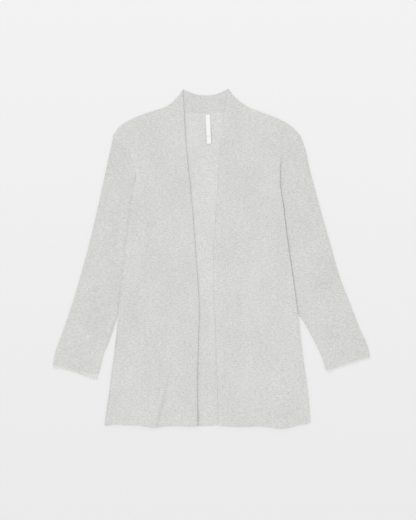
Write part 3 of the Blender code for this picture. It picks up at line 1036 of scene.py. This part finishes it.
@dataclass
class ClothPiece:
    """One cut piece of knit as a thin shell with its ribs, on the solid that it replaces."""

    node: str
    slot: str
    finish: bpy.types.Material
    flat: Pair
    flat_area: float
    rests_on: tuple[str, ...] = ()
    wall: float = 1.35
    rim_wall: float = 0.9
    rim_drop: float = 0.25
    edge_sag: float = 0.4
    edge_reach: float = 4.5
    soft_edge: Points = field(default_factory=lambda: np.zeros((0, 2)))
    soft_sag: float = 0.8
    soft_reach: float = 7.0
    row_step: float = 6.0
    unevenness: float = 0.16
    seed: int = 1
    creases: tuple[Crease, ...] = ()
    trim: tuple[bpy.types.Object, ...] = ()

    def columns(self, outline: Points) -> Points:
        """Places of the inner points: four columns to a rib, in rows.

        Args:
            outline: The piece's outline.

        Returns:
            The points of the box round the outline.
        """
        (x0, y0), (x1, y1) = outline.min(axis=0), outline.max(axis=0)
        step = RIB_PITCH / QUARTERS
        across = np.arange(math.ceil(x0 / step), math.floor(x1 / step) + 1) * step
        along = np.arange(y0 + self.row_step / 2, y1, self.row_step)
        return grid(across, along)

    def ribs(self, points: Points) -> Points:
        """Rib height at each point, from 0 to 1."""
        return rib_profile(points[:, 0] - CROWN_X)

    def height(self, solid: Solid, points: Points) -> Points:
        """Height of the cloth's top.

        Args:
            solid: The solid that it lies on.
            points: Places.

        Returns:
            Heights in millimetres.
        """
        height = solid.level(points) + RIB_RISE * (self.ribs(points) - 0.5)
        height += self.unevenness * ripple(points, self.seed)
        for fold in self.creases:
            height += fold.height(points)
        if len(self.soft_edge):
            height -= self.soft_sag * (1 - ease(to_line(points, self.soft_edge) / self.soft_reach))
        return height

    def shell(self, solid: Solid) -> bpy.types.Object:
        """The cloth with its wall.

        Args:
            solid: The solid that it replaces.

        Returns:
            The piece.
        """
        outline = solid.outline()
        fill = Fill(outline, self.columns(outline))
        sag = self.edge_sag * (1 - ease(fill.from_edge / self.edge_reach))
        tops = self.height(solid, fill.points) - sag
        rim = len(fill.ring)
        tops[:rim] -= self.rim_drop
        tops = np.maximum(tops, self.wall + GRAIN)
        piece = mesh_piece(self.node + "_knit", np.column_stack([fill.points, tops]), fill.faces)
        return self.walled(piece, range(rim))

    def walled(self, piece: bpy.types.Object, rim: Iterable[int]) -> bpy.types.Object:
        """Gives a sheet its wall, thinner along its rim.

        Args:
            piece: The sheet, facing outwards.
            rim: Numbers of the corners on its edge.

        Returns:
            The piece.
        """
        group = piece.vertex_groups.new(name="wall")
        group.add(range(len(piece.data.vertices)), 1.0, "REPLACE")
        group.add(list(rim), self.rim_wall, "REPLACE")
        thickness = self.wall * MM
        shaped(piece, "SOLIDIFY", thickness=thickness, offset=-1.0, use_rim=True, vertex_group="wall")
        piece.vertex_groups.clear()
        return smoothed(piece)

    def build(self, solids: dict[str, Solid]) -> bpy.types.Object:
        """Args:
            solids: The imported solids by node.

        Returns:
            The piece.
        """
        piece = dressed(self.shell(solids[self.node]), self.finish)
        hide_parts(self.node)
        return piece


@dataclass
class Sleeve(ClothPiece):
    """A sleeve as one flattened tube of cloth, open at its head and its cuff.

    Its four corners are given on the solid: the head's outer and inner one, and the cuff's inner and
    outer one. The ribs follow the outer fold.
    """

    wall: float = 0.95
    hand: Hand = Hand.RIGHT
    head: tuple[Pair, Pair] = ((0.0, 0.0), (0.0, 0.0))
    cuff: tuple[Pair, Pair] = ((0.0, 0.0), (0.0, 0.0))
    widest: float = 300.0
    under_rise: float = 0.16
    fold_swell: float = 1.3
    fold_steps: int = 4
    body_edge: Points = field(default_factory=lambda: np.zeros((0, 2)))
    body_outline: Points = field(default_factory=lambda: np.zeros((0, 2)))
    swell: float = 1.8
    swell_starts: float = 3.2
    swell_ends: float = 26.0
    swell_fade: float = 55.0
    guide: Points = field(default_factory=lambda: np.zeros((2, 2)))
    guide_past: float = 40.0

    def outer_x(self, y: Points) -> Points:
        """The outer fold's x at each y."""
        return np.interp(y, self.guide[:, 1], self.guide[:, 0])

    def columns(self, outline: Points) -> Points:
        """Places of the inner points, in columns beside the outer fold.

        Args:
            outline: The sleeve's outline.

        Returns:
            The points of the box round the outline.
        """
        (_, y0), (_, y1) = outline.min(axis=0), outline.max(axis=0)
        step = RIB_PITCH * RIB_ASLANT / QUARTERS
        across = np.arange(0, self.widest / step) * step
        along = np.arange(y0 + self.row_step / 2, y1, self.row_step)
        inwards, up = grid(across, along).T
        return np.column_stack([self.outer_x(up) - self.hand.value * inwards, up])

    def ribs(self, points: Points) -> Points:
        """Rib height at each point, from 0 to 1."""
        return rib_profile(np.abs(self.outer_x(points[:, 1]) - points[:, 0]) / RIB_ASLANT)

    def height(self, solid: Solid, points: Points) -> Points:
        """Height of the sleeve's top, which swells a little where it comes out from under the body.

        Args:
            solid: The solid that it replaces.
            points: Places.

        Returns:
            Heights in millimetres.
        """
        height = super().height(solid, points)
        away = to_line(points, self.body_edge)
        rises = ease(away / self.swell_starts) * ease((self.swell_ends - away) / self.swell_ends)
        low, high = self.body_edge[:, 1].min(), self.body_edge[:, 1].max()
        y = points[:, 1]
        fades = ease((y - low) / self.swell_fade) * ease((high - y) / self.swell_fade)
        return height + np.where(inside(points, self.body_outline), 0.0, self.swell * rises * fades)

    def guide_line(self, line: Points) -> Points:
        """The line that the ribs follow.

        Args:
            line: The outer fold.

        Returns:
            Its points from the cuff up, with one beyond the cuff.
        """
        line = line[np.argsort(line[:, 1])]
        slope = (line[1] - line[0]) / (line[1, 1] - line[0, 1])
        return np.vstack([line[0] - slope * self.guide_past, line])

    def rounded(
        self, fill: Fill, run: list[int], layers: tuple[Points, Points], used: int
    ) -> tuple[list[Points], list[tuple[int, ...]]]:
        """The rounded fold between the two layers along a stretch of the outline.

        Args:
            fill: The triangles of one layer.
            run: Numbers of the outline's points on the stretch.
            layers: Heights of the upper and the under layer.
            used: How many corners the piece has already.

        Returns:
            The further corners and the faces.
        """
        sides = outward(fill.ring)
        corners, rows = [], [run]
        for step in range(1, self.fold_steps):
            angle = math.pi * step / self.fold_steps
            row = []
            for i in run:
                high, low = layers[0][i], layers[1][i]
                spot = fill.ring[i] + sides[i] * self.fold_swell * math.sin(angle)
                row.append(used + len(corners))
                corners.append(np.array([*spot, (high + low) / 2 + (high - low) / 2 * math.cos(angle)]))
            rows.append(row)
        rows.append([i + len(fill.points) for i in run])
        faces = []
        for upper, lower in zip(rows[:-1], rows[1:]):
            for k in range(len(run) - 1):
                faces.append((upper[k], lower[k], lower[k + 1], upper[k + 1]))
        return corners, faces

    def shell(self, solid: Solid) -> bpy.types.Object:
        """The sleeve's cloth: an upper and an under layer, joined by rounded folds.

        Args:
            solid: The solid that it replaces.

        Returns:
            The piece.
        """
        outline = solid.outline()
        head_out, head_in, wrist_in, wrist_out = solid.nudged(np.array([*self.head, *self.cuff]))
        outer, inner = (head_out, wrist_out), (wrist_in, head_in)
        folds = (outer, inner)
        if self.hand is Hand.LEFT:
            outer, inner = outer[::-1], inner[::-1]
            folds = (inner, outer)
        self.guide = self.guide_line(outline[stretch(outline, *outer)])
        fill = Fill(outline, self.columns(outline))
        under = self.under_rise * (1 - self.ribs(fill.points))
        tops = np.maximum(self.height(solid, fill.points), under + 2 * self.wall + GRAIN)
        count = len(fill.points)
        corners = [*np.column_stack([fill.points, tops]), *np.column_stack([fill.points, under])]
        faces = [*fill.faces, *((a + count, c + count, b + count) for a, b, c in fill.faces)]
        for start, end in folds:
            run = stretch(fill.ring, start, end)
            more_corners, more_faces = self.rounded(fill, run, (tops, under), len(corners))
            corners += more_corners
            faces += more_faces
        piece = mesh_piece(self.node + "_knit", corners, faces)
        return self.walled(piece, [])


@dataclass(frozen=True)
class Wave:
    """One of the waves that a frill is made of."""

    size: float
    count: int
    start: float = 0.0

    def at(self, turn: float) -> float:
        """Its height at an angle round the cuff."""
        return self.size * math.sin(self.count * turn + self.start)


@dataclass
class FrilledEdging:
    """The narrow frill round a cuff: a gently wavy band whose free edge is rolled in pale thread.

    It is deeper by its flare at the cuff's inner end, and its under side lies flatter on the ground.
    """

    node: str
    sleeve: str
    cuff: tuple[Pair, Pair]
    band_finish: bpy.types.Material
    thread_finish: bpy.types.Material
    slot: str = "edging"
    depth: float = 6.2
    flare: float = 1.0
    flare_share: float = 0.6
    tuck: float = 0.2
    wall: float = 0.8
    waves: tuple[Wave, ...] = (Wave(0.6, 18), Wave(0.4, 31, 1.0), Wave(0.3, 7))
    wave_out: float = 1.5
    wave_up: float = 0.9
    wave_power: float = 1.6
    under_share: float = 0.35
    under_height: float = 1.0
    droop: float = 0.8
    lowest: float = 0.05
    raised: float = 0.1
    half_height: float = 1.65
    steps: int = 180
    rows: int = 7
    roll_radius: float = 1.0
    look: float = 8.0

    def place(self, line: Points, reach: float) -> tuple[Points, Points]:
        """A point on the cuff and the direction away from the sleeve there.

        Args:
            line: The sleeve's end, from its inner corner to its outer one.
            reach: How far along it, in millimetres.

        Returns:
            The place and the direction.
        """
        along = on_line(line, reach + self.look) - on_line(line, reach - self.look)
        along /= np.linalg.norm(along)
        away = np.array([along[1], -along[0]])
        return on_line(line, reach), away if away[1] < 0 else -away

    def loop(self, line: Points) -> list[tuple[Points, Points, float, float, float]]:
        """Stations round the flattened cuff.

        Args:
            line: The sleeve's end, from its inner corner to its outer one.

        Returns:
            For each its place on the cuff, the direction away from the sleeve, its height, the share
            of the way round and the frill's depth.
        """
        length = piece_lengths(line).sum()
        stations = []
        straight = length - 2 * self.half_height
        bend = math.pi * self.half_height
        total = 2 * (straight + bend)
        for number in range(self.steps):
            run = total * number / self.steps
            if run < straight:
                reach, height = self.half_height + run, 2 * self.half_height
            elif run < straight + bend:
                angle = (run - straight) / self.half_height
                reach = self.half_height + straight + self.half_height * math.sin(angle)
                height = self.half_height * (1 + math.cos(angle))
            elif run < 2 * straight + bend:
                reach, height = self.half_height + straight - (run - straight - bend), 0.0
            else:
                angle = (run - 2 * straight - bend) / self.half_height
                reach = self.half_height - self.half_height * math.sin(angle)
                height = self.half_height * (1 - math.cos(angle))
            depth = self.depth + self.flare * ease(np.array(1 - reach / (self.flare_share * length)))
            stations.append((*self.place(line, reach), height, number / self.steps, float(depth)))
        return stations

    def band(self, line: Points) -> tuple[bpy.types.Object, Points]:
        """Makes the wavy band.

        Args:
            line: The sleeve's end, from its inner corner to its outer one.

        Returns:
            The piece and the places of its free edge.
        """
        corners, edge = [], []
        for place, away, height, share, full in self.loop(line):
            swing = sum(wave.at(math.tau * share) for wave in self.waves)
            lift = self.wave_up * (0.5 + 0.5 * swing)
            if height < self.under_height:
                lift *= self.under_share
            sink = self.droop * max(height - self.under_height, 0.0) / (2 * self.half_height)
            for row in range(self.rows):
                depth = row / (self.rows - 1)
                out = (full + self.tuck) * depth - self.tuck + self.wave_out * swing * 0.5 * depth**2
                spot = place + away * out
                z = max(height + lift * depth**self.wave_power - sink * depth, self.lowest) + self.raised
                corners.append(np.array([*spot, z]))
            edge.append(corners[-1])
        faces = []
        for number in range(self.steps):
            here, there = number * self.rows, (number + 1) % self.steps * self.rows
            for row in range(self.rows - 1):
                faces.append((here + row, here + row + 1, there + row + 1, there + row))
        band = mesh_piece(self.node + "_frill", corners, faces)
        face_out(band)
        shaped(band, "SOLIDIFY", thickness=self.wall * MM, offset=-1.0, use_rim=True)
        return smoothed(band), np.array(edge)

    def build(self, solids: dict[str, Solid]) -> list[bpy.types.Object]:
        """Args:
            solids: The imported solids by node.

        Returns:
            The pieces.
        """
        band, ring = self.band(solids[self.sleeve].run(*self.cuff))
        ring[:, 2] = np.maximum(ring[:, 2] - self.wall / 2, self.roll_radius + 2 * GRAIN)
        roll = cord(self.node + "_thread", ring, self.roll_radius, closed=True)
        dressed(band, self.band_finish)
        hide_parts(self.node)
        return [band, dressed(roll, self.thread_finish)]


@dataclass
class LabelStrip:
    """A bare strip of woven tape that hangs on the inside of the back from its top end.

    Its edges are read a little nearer to the top end, by the share in inset, to be on the solid.
    """

    node: str
    top: Pair
    size: Pair
    finish: bpy.types.Material
    lean: float = math.radians(2.9)
    wall: float = 0.45
    cup: float = 0.25
    columns: int = 4
    rows: int = 24
    inset: float = 0.001
    spare_height: float = 2.6
    slot: str = "label_tape"

    def strip(self) -> bpy.types.Object:
        """A flat strip whose top end's middle is at the origin.

        Returns:
            The piece.
        """
        width, length = self.size
        deselect_all()
        bpy.ops.mesh.primitive_grid_add(x_subdivisions=self.columns, y_subdivisions=self.rows, size=1.0)
        piece = bpy.context.active_object
        piece.name = piece.data.name = self.node + "_tape"
        bpy.ops.object.mode_set(mode="EDIT")
        bpy.ops.mesh.select_all(action="SELECT")
        bpy.ops.transform.resize(value=(width * MM, length * MM, 1.0))
        bpy.ops.transform.translate(value=(0.0, -length * MM / 2, 0.0))
        bpy.ops.object.mode_set(mode="OBJECT")
        return piece

    def laid(self, x: float, y: float, solid: Solid) -> Points:
        """Where a place on the flat strip lies on the solid.

        Args:
            x: How far the place is from the strip's middle line.
            y: How far it is from the top end: 0 or less.
            solid: The strip's solid.

        Returns:
            The place, with its height.
        """
        width, length = self.size
        cosine, sine = math.cos(self.lean), math.sin(self.lean)
        place = (self.top[0] + x * cosine - y * sine, self.top[1] + x * sine + y * cosine)
        low = solid.top(*(np.array(place) * (1 - self.inset) + np.array(self.top) * self.inset))
        if low is None:
            low = solid.top(self.top[0] + y * sine, self.top[1] + np.clip(y, 1 - length, -1) * cosine)
        cup = self.cup * (2 * x / width) ** 2 * ease(np.array([-y / length]))[0]
        return np.array([*place, (low or self.spare_height) + cup])

    def build(self, solids: dict[str, Solid]) -> bpy.types.Object:
        """Args:
            solids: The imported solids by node.

        Returns:
            The piece.
        """
        piece = self.strip()
        for corner in piece.data.vertices:
            corner.co = Vector(self.laid(corner.co.x / MM, corner.co.y / MM, solids[self.node])) * MM
        shaped(piece, "SOLIDIFY", thickness=self.wall * MM, offset=-1.0)
        dressed(smoothed(piece), self.finish)
        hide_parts(self.node)
        return piece


@dataclass
class SeamCord:
    """The rounded ridge of a sewn seam, laid in the ditch between two pieces."""

    name: str
    path: Points
    radius: float
    finish: bpy.types.Material
    slot: str = "rib_knit"

    def build(self) -> bpy.types.Object:
        """Makes and dresses the ridge.

        Returns:
            The piece.
        """
        return dressed(cord(self.name, self.path, self.radius), self.finish)


@dataclass(frozen=True)
class Studio:
    """The pale ground, the soft light and the camera straight above. Its sizes are in metres."""

    ground_size: float = 8.0
    ground_z: float = -0.0004
    sky: float = 0.909
    key_energy: float = 0.45
    key_angle: float = math.radians(26)
    key_towards: Triple = (0.66, -0.30, -0.80)

    def ground(self) -> None:
        """Lays the floor."""
        deselect_all()
        bpy.ops.mesh.primitive_plane_add(size=self.ground_size, location=(0.0, 0.0, 0.0))
        floor = bpy.context.active_object
        floor.name = "ground"
        floor.location.z = self.ground_z
        floor.data.materials.append(PaleGround().material())

    def light(self) -> None:
        """Sets an even sky and a soft key from the upper left."""
        world = bpy.data.worlds.new("soft_room")
        bpy.context.scene.world = world
        world.use_nodes = True
        background = world.node_tree.nodes["Background"]
        background.inputs["Color"].default_value = (1.0, 1.0, 1.0, 1.0)
        background.inputs["Strength"].default_value = self.sky
        key = bpy.data.lights.new("soft_key", "SUN")
        key.energy = self.key_energy
        key.angle = self.key_angle
        lamp = bpy.data.objects.new("soft_key", key)
        bpy.context.scene.collection.objects.link(lamp)
        lamp.rotation_mode = "QUATERNION"
        lamp.rotation_quaternion = Vector(self.key_towards).to_track_quat("-Z", "Y")
        view = bpy.context.scene.view_settings
        view.view_transform = "Standard"
        view.look = "None"

    def camera(self) -> None:
        """Looks straight down on the photograph's frame."""
        data = bpy.data.cameras.new("above")
        data.sensor_width = SENSOR
        data.lens = SENSOR * CAMERA_HEIGHT / (PHOTO_SIZE[1] * PHOTO_SCALE)
        camera = bpy.data.objects.new("above", data)
        bpy.context.scene.collection.objects.link(camera)
        camera.location = (PHOTO_CENTRE[0] * MM, PHOTO_CENTRE[1] * MM, CAMERA_HEIGHT * MM)
        bpy.context.scene.camera = camera

    def build(self) -> None:
        """Sets everything up."""
        self.camera()
        self.ground()
        self.light()


# The garment's own numbers


def moved(x: float, y: float) -> Pair:
    """A place of the garment's own frame, in the frame of its solids."""
    return x + MOVED[0], y + MOVED[1]


def crease(start: Pair, end: Pair, width: float, rise: float, runs_out: bool = False) -> Crease:
    """A crease between two places of the garment's own frame."""
    return Crease(*moved(*start), *moved(*end), width, rise, runs_out)


def nudge(x: float, y: float, across: float, up: float, reach: float) -> Nudge:
    """A nudge round a place of the garment's own frame."""
    return Nudge(*moved(x, y), across, up, reach)


@dataclass(frozen=True)
class Join:
    """A seam along the edge of a solid: how far inside the edge, how far under the top, how thick.

    A negative inset is outside the edge.
    """

    node: str
    start: Pair
    end: Pair
    inset: float
    drop: float
    radius: float


# Where the body's sides lie on the sleeves, and the left front's own front edge
RIGHT_SIDE = ((-175.1, 198.9), (-214.4, -126.5))
LEFT_SIDE = ((156.6, 208.5), (198.6, -129.5))
LEFT_FRONT_EDGE = ((38.6, 390.5), (15.6, -383.5))

# Corners of the sleeves: outer and inner ones of their heads, inner and outer ones of their cuffs
RIGHT_HEAD = (moved(-217.45, 665), moved(-163.45, 568))
RIGHT_CUFF = (moved(-250.45, 121), moved(-353.95, 146.5))
LEFT_HEAD = (moved(215.45, 665), moved(167.45, 593))
LEFT_CUFF = (moved(271.45, 132), moved(374.45, 163))

# Where the shoulder seams meet the armhole seams
RIGHT_SHOULDER = (-227.4, 280.5)
LEFT_SHOULDER = (204.6, 280.5)

# Seams, which lie in the ditches between the pieces
SEAMS = {
    "right_side": Join("right_front", (-174.5, 180.0), (-245.4, -379.5), -0.5, 2.3, 1.9),
    "left_side": Join("left_front", (156.7, 205.0), (225.6, -372.5), 1.7, 1.95, 1.5),
    "right_shoulder": Join("right_front", RIGHT_SHOULDER, (-65.4, 389.5), 1.1, 1.85, 1.4),
    "left_shoulder": Join("left_front", LEFT_SHOULDER, LEFT_FRONT_EDGE[0], 1.1, 1.85, 1.4),
    "right_armhole": Join("right_front", RIGHT_SHOULDER, RIGHT_SIDE[0], 0.0, 1.45, 1.25),
    "left_armhole": Join("left_front", LEFT_SHOULDER, (160.6, 229.5), 0.0, 1.45, 1.25),
}

# Edges that lie a little beside those of the solids
LEFT_SHOULDER_OUT = nudge(223, 639, 2.8, 0.0, 55)
RIGHT_HEM_DOWN = nudge(-39, 0, 0.0, -2.7, 55)
LEFT_HEM_DOWN = nudge(80, 0, 0.0, -2.0, 65)
NUDGES = {
    "back": (LEFT_SHOULDER_OUT, RIGHT_HEM_DOWN, LEFT_HEM_DOWN, nudge(2, 4, 0.0, -3.6, 40)),
    "right_front": (
        nudge(-213, 214, 6.0, 0.0, 105),
        nudge(-232, 60, 2.0, 0.0, 130),
        RIGHT_HEM_DOWN,
        nudge(-234, 2, 0.0, -4.4, 20),
    ),
    "left_front": (
        LEFT_SHOULDER_OUT,
        nudge(232, 64, 2.6, 0.0, 110),
        LEFT_HEM_DOWN,
        nudge(236, 8, 0.0, -4.6, 34),
    ),
    "right_sleeve": (
        nudge(-238, 166, 3.4, 0.0, 110),
        nudge(-353, 152, -1.6, 0.0, 40),
        nudge(-260, 124, 0.0, -2.8, 50),
        nudge(-352, 143, 0.0, -4.6, 24),
    ),
    "left_sleeve": (
        LEFT_SHOULDER_OUT,
        nudge(371, 179, 1.5, 0.0, 60),
        nudge(214, 244, 2.0, 0.0, 22),
        nudge(322, 152, 0.0, -2.7, 75),
        nudge(272, 133, 0.0, -2.4, 22),
    ),
}

# Folds finer than those of the solids, and the solids' two hem folds made lower and narrower
RIGHT_FRONT_CREASES = (
    crease((-92, 150), (-125, -6), 18, -2.6, True),
    crease((-86, 146), (-118.5, -6), 7, 1.8, True),
    crease((-79.5, 138), (-113, 2), 3.0, -1.1, True),
    crease((-175, 160), (-175, 126), 3.4, -0.5),
    crease((-150, 236), (-118, 176), 9, -0.35),
    crease((-60, 60), (-44, -6), 8, 0.4, True),
)
LEFT_FRONT_CREASES = (
    crease((186, 170), (172, -8), 28, -3.0, True),
    crease((50, 172), (34, 54), 4.4, -0.4),
    crease((108, 190), (120, 128), 7, -0.8),
    crease((129, 84), (126, 22), 4, -0.5),
    crease((150, 330), (158, 230), 12, 0.35),
    crease((25, 470), (49.5, 776), 9, -0.55, True),
)
RIGHT_SLEEVE_CREASES = (
    crease((-272, 306), (-204, 304), 8, -0.4),
    crease((-296, 162), (-278, 146), 6, -0.7),
    crease((-200, 268), (-230, 184), 3.0, -2.4),
)
LEFT_SLEEVE_CREASES = (
    crease((282, 172), (299, 156), 6, -0.7),
    crease((236, 330), (262, 262), 9, -0.35),
)

# Shades of the pieces
GREY = (0.661, 0.661, 0.646)
INSIDE_GREY = (0.690, 0.690, 0.675)
COLLAR_GREY = (0.655, 0.655, 0.640)
SLEEVE_GREY = (0.652, 0.652, 0.637)
FRILL_GREY = (0.705, 0.705, 0.690)
THREAD = (0.86, 0.86, 0.84)
TAPE = (0.93, 0.93, 0.92)
# painted shade on the inside of the back, darker towards the hem
PAINTED_HEM_SHADE = 0.085  # how much the inside of the back darkens towards the hem


class Cardigan:
    """All the pieces of the cardigan, in the order in which they are laid."""

    def __init__(self, nodes: dict[str, bpy.types.Object]) -> None:
        """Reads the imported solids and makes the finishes.

        Args:
            nodes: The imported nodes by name.
        """
        self.solids = {name: Solid(node, NUDGES.get(name, ())) for name, node in nodes.items()}
        self.pieces: list[bpy.types.Object] = []
        right, left = {"turn": RIGHT_LEAN}, {"turn": LEFT_LEAN}
        self.knit = HeatherKnit("heather_rib", GREY).material()
        self.inside = HeatherKnit("heather_rib_inside", INSIDE_GREY, painted_hem_shade=PAINTED_HEM_SHADE).material()
        self.collar = HeatherKnit("heather_rib_collar", COLLAR_GREY).material()
        self.right_knit = HeatherKnit("heather_rib_right_sleeve", SLEEVE_GREY, **right).material()
        self.left_knit = HeatherKnit("heather_rib_left_sleeve", SLEEVE_GREY, **left).material()
        self.right_frill = HeatherKnit("heather_frill_right", FRILL_GREY, **right).material()
        self.left_frill = HeatherKnit("heather_frill_left", FRILL_GREY, **left).material()
        self.right_edge = ThreadEdge("pale_thread_right", THREAD, **right).material()
        self.left_edge = ThreadEdge("pale_thread_left", THREAD, **left).material()
        self.tape = WovenTape("bare_label_tape", TAPE).material()

    def add(self, *pieces: bpy.types.Object) -> None:
        """Keeps finished pieces and reports them.

        Args:
            pieces: The pieces.
        """
        for piece in pieces:
            self.pieces.append(piece)
            LOG.info("%s: %d faces", piece.name, len(piece.data.polygons))

    def body(self) -> None:
        """Lays the back, the back of the collar and the two fronts."""
        on_back = ("back_knit",)
        right_side = self.solids["right_front"].run(*RIGHT_SIDE)
        front_edge = self.solids["left_front"].run(*LEFT_FRONT_EDGE)
        back = ClothPiece(
            "back", "rib_knit_inside", self.inside, flat=(0.472, 0.731), flat_area=0.288, wall=1.1,
            row_step=8.0, seed=3, unevenness=0.1,
        )
        collar = ClothPiece(
            "back_collar", "rib_knit_inside", self.collar, flat=(0.200, 0.056), flat_area=0.0069,
            rests_on=on_back, row_step=5.0, seed=4, unevenness=0.08,
        )
        right = ClothPiece(
            "right_front", "rib_knit", self.knit, flat=(0.218, 0.778), flat_area=0.124,
            rests_on=on_back, seed=5, creases=RIGHT_FRONT_CREASES, soft_edge=right_side, soft_sag=0.5,
        )
        left = ClothPiece(
            "left_front", "rib_knit", self.knit, flat=(0.222, 0.781), flat_area=0.1305,
            rests_on=on_back, seed=6, creases=LEFT_FRONT_CREASES, soft_edge=front_edge,
        )
        for piece in (back, collar, right, left):
            self.add(piece.build(self.solids))

    def sleeves(self) -> None:
        """Lays the two sleeves with their frilled cuffs."""
        right_trim, left_trim = self.edgings()
        right_front, left_front = self.solids["right_front"], self.solids["left_front"]
        right = Sleeve(
            "right_sleeve", "rib_knit", self.right_knit, flat=(0.420, 0.545), flat_area=0.109, seed=7,
            hand=Hand.RIGHT, head=RIGHT_HEAD, cuff=RIGHT_CUFF, creases=RIGHT_SLEEVE_CREASES,
            body_edge=right_front.run(*RIGHT_SIDE), body_outline=right_front.outline(),
            swell=2.3, swell_starts=1.9, trim=right_trim,
        )
        left = Sleeve(
            "left_sleeve", "rib_knit", self.left_knit, flat=(0.420, 0.535), flat_area=0.112, seed=8,
            hand=Hand.LEFT, head=LEFT_HEAD, cuff=LEFT_CUFF, creases=LEFT_SLEEVE_CREASES,
            body_edge=left_front.run(*LEFT_SIDE), body_outline=left_front.outline(),
            swell=1.5, trim=left_trim,
        )
        for sleeve in (right, left):
            self.add(sleeve.build(self.solids))

    def edgings(self) -> tuple[tuple[bpy.types.Object, ...], tuple[bpy.types.Object, ...]]:
        """Frills the cuffs.

        Returns:
            The right cuff's pieces and the left cuff's.
        """
        right = FrilledEdging(
            "right_cuff_edging", "right_sleeve", RIGHT_CUFF, self.right_frill, self.right_edge, flare=5.5,
        )
        left = FrilledEdging(
            "left_cuff_edging", "left_sleeve", LEFT_CUFF, self.left_frill, self.left_edge,
            depth=5.4, flare=1.4, wave_out=1.1,
        )
        trims = tuple(right.build(self.solids)), tuple(left.build(self.solids))
        self.add(*trims[0], *trims[1])
        return trims

    def seam_line(self, join: Join) -> Points:
        """The path of a seam.

        Args:
            join: The seam.

        Returns:
            Its points.
        """
        solid = self.solids[join.node]
        line = spaced(solid.run(join.start, join.end), SEAM_STEP, closed=False)
        line = line[np.append(True, piece_lengths(line) > GRAIN)]
        side = outward(line, closed=False)
        if inside(line + side, solid.outline()).mean() > 0.5:
            side = -side
        heights = solid.level(line - side * EDGE_LOOK, EDGE_LOOK)
        padded = np.pad(heights, SEAM_EVEN, mode="edge")
        count = 2 * SEAM_EVEN + 1
        even = np.convolve(padded, np.full(count, 1 / count), mode="valid")
        z = np.maximum(even - join.drop, join.radius + GRAIN)
        return np.column_stack([line - side * join.inset, z])

    def seams(self) -> None:
        """Lays the side, shoulder and armhole seams."""
        for name, join in SEAMS.items():
            seam = SeamCord(name + "_seam", self.seam_line(join), join.radius, self.knit)
            self.add(seam.build())

    def labels(self) -> None:
        """Hangs the bare label and the tab under it."""
        label = LabelStrip("neck_label", moved(1.5, 716.0), (10.1, 49.0), self.tape)
        tab = LabelStrip("size_tab", moved(3.6, 673.0), (10.0, 24.0), self.tape)
        self.add(label.build(self.solids), tab.build(self.solids))

    def build(self) -> None:
        """Makes every piece."""
        self.body()
        self.sleeves()
        self.seams()
        self.labels()


def main() -> None:
    """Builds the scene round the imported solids."""
    logging.basicConfig(level=logging.INFO, format="%(message)s")
    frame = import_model()
    Studio().build()
    cardigan = Cardigan(frame["nodes"])
    cardigan.build()
    LOG.info("%d pieces", len(cardigan.pieces))


if __name__ == "__main__":
    main()
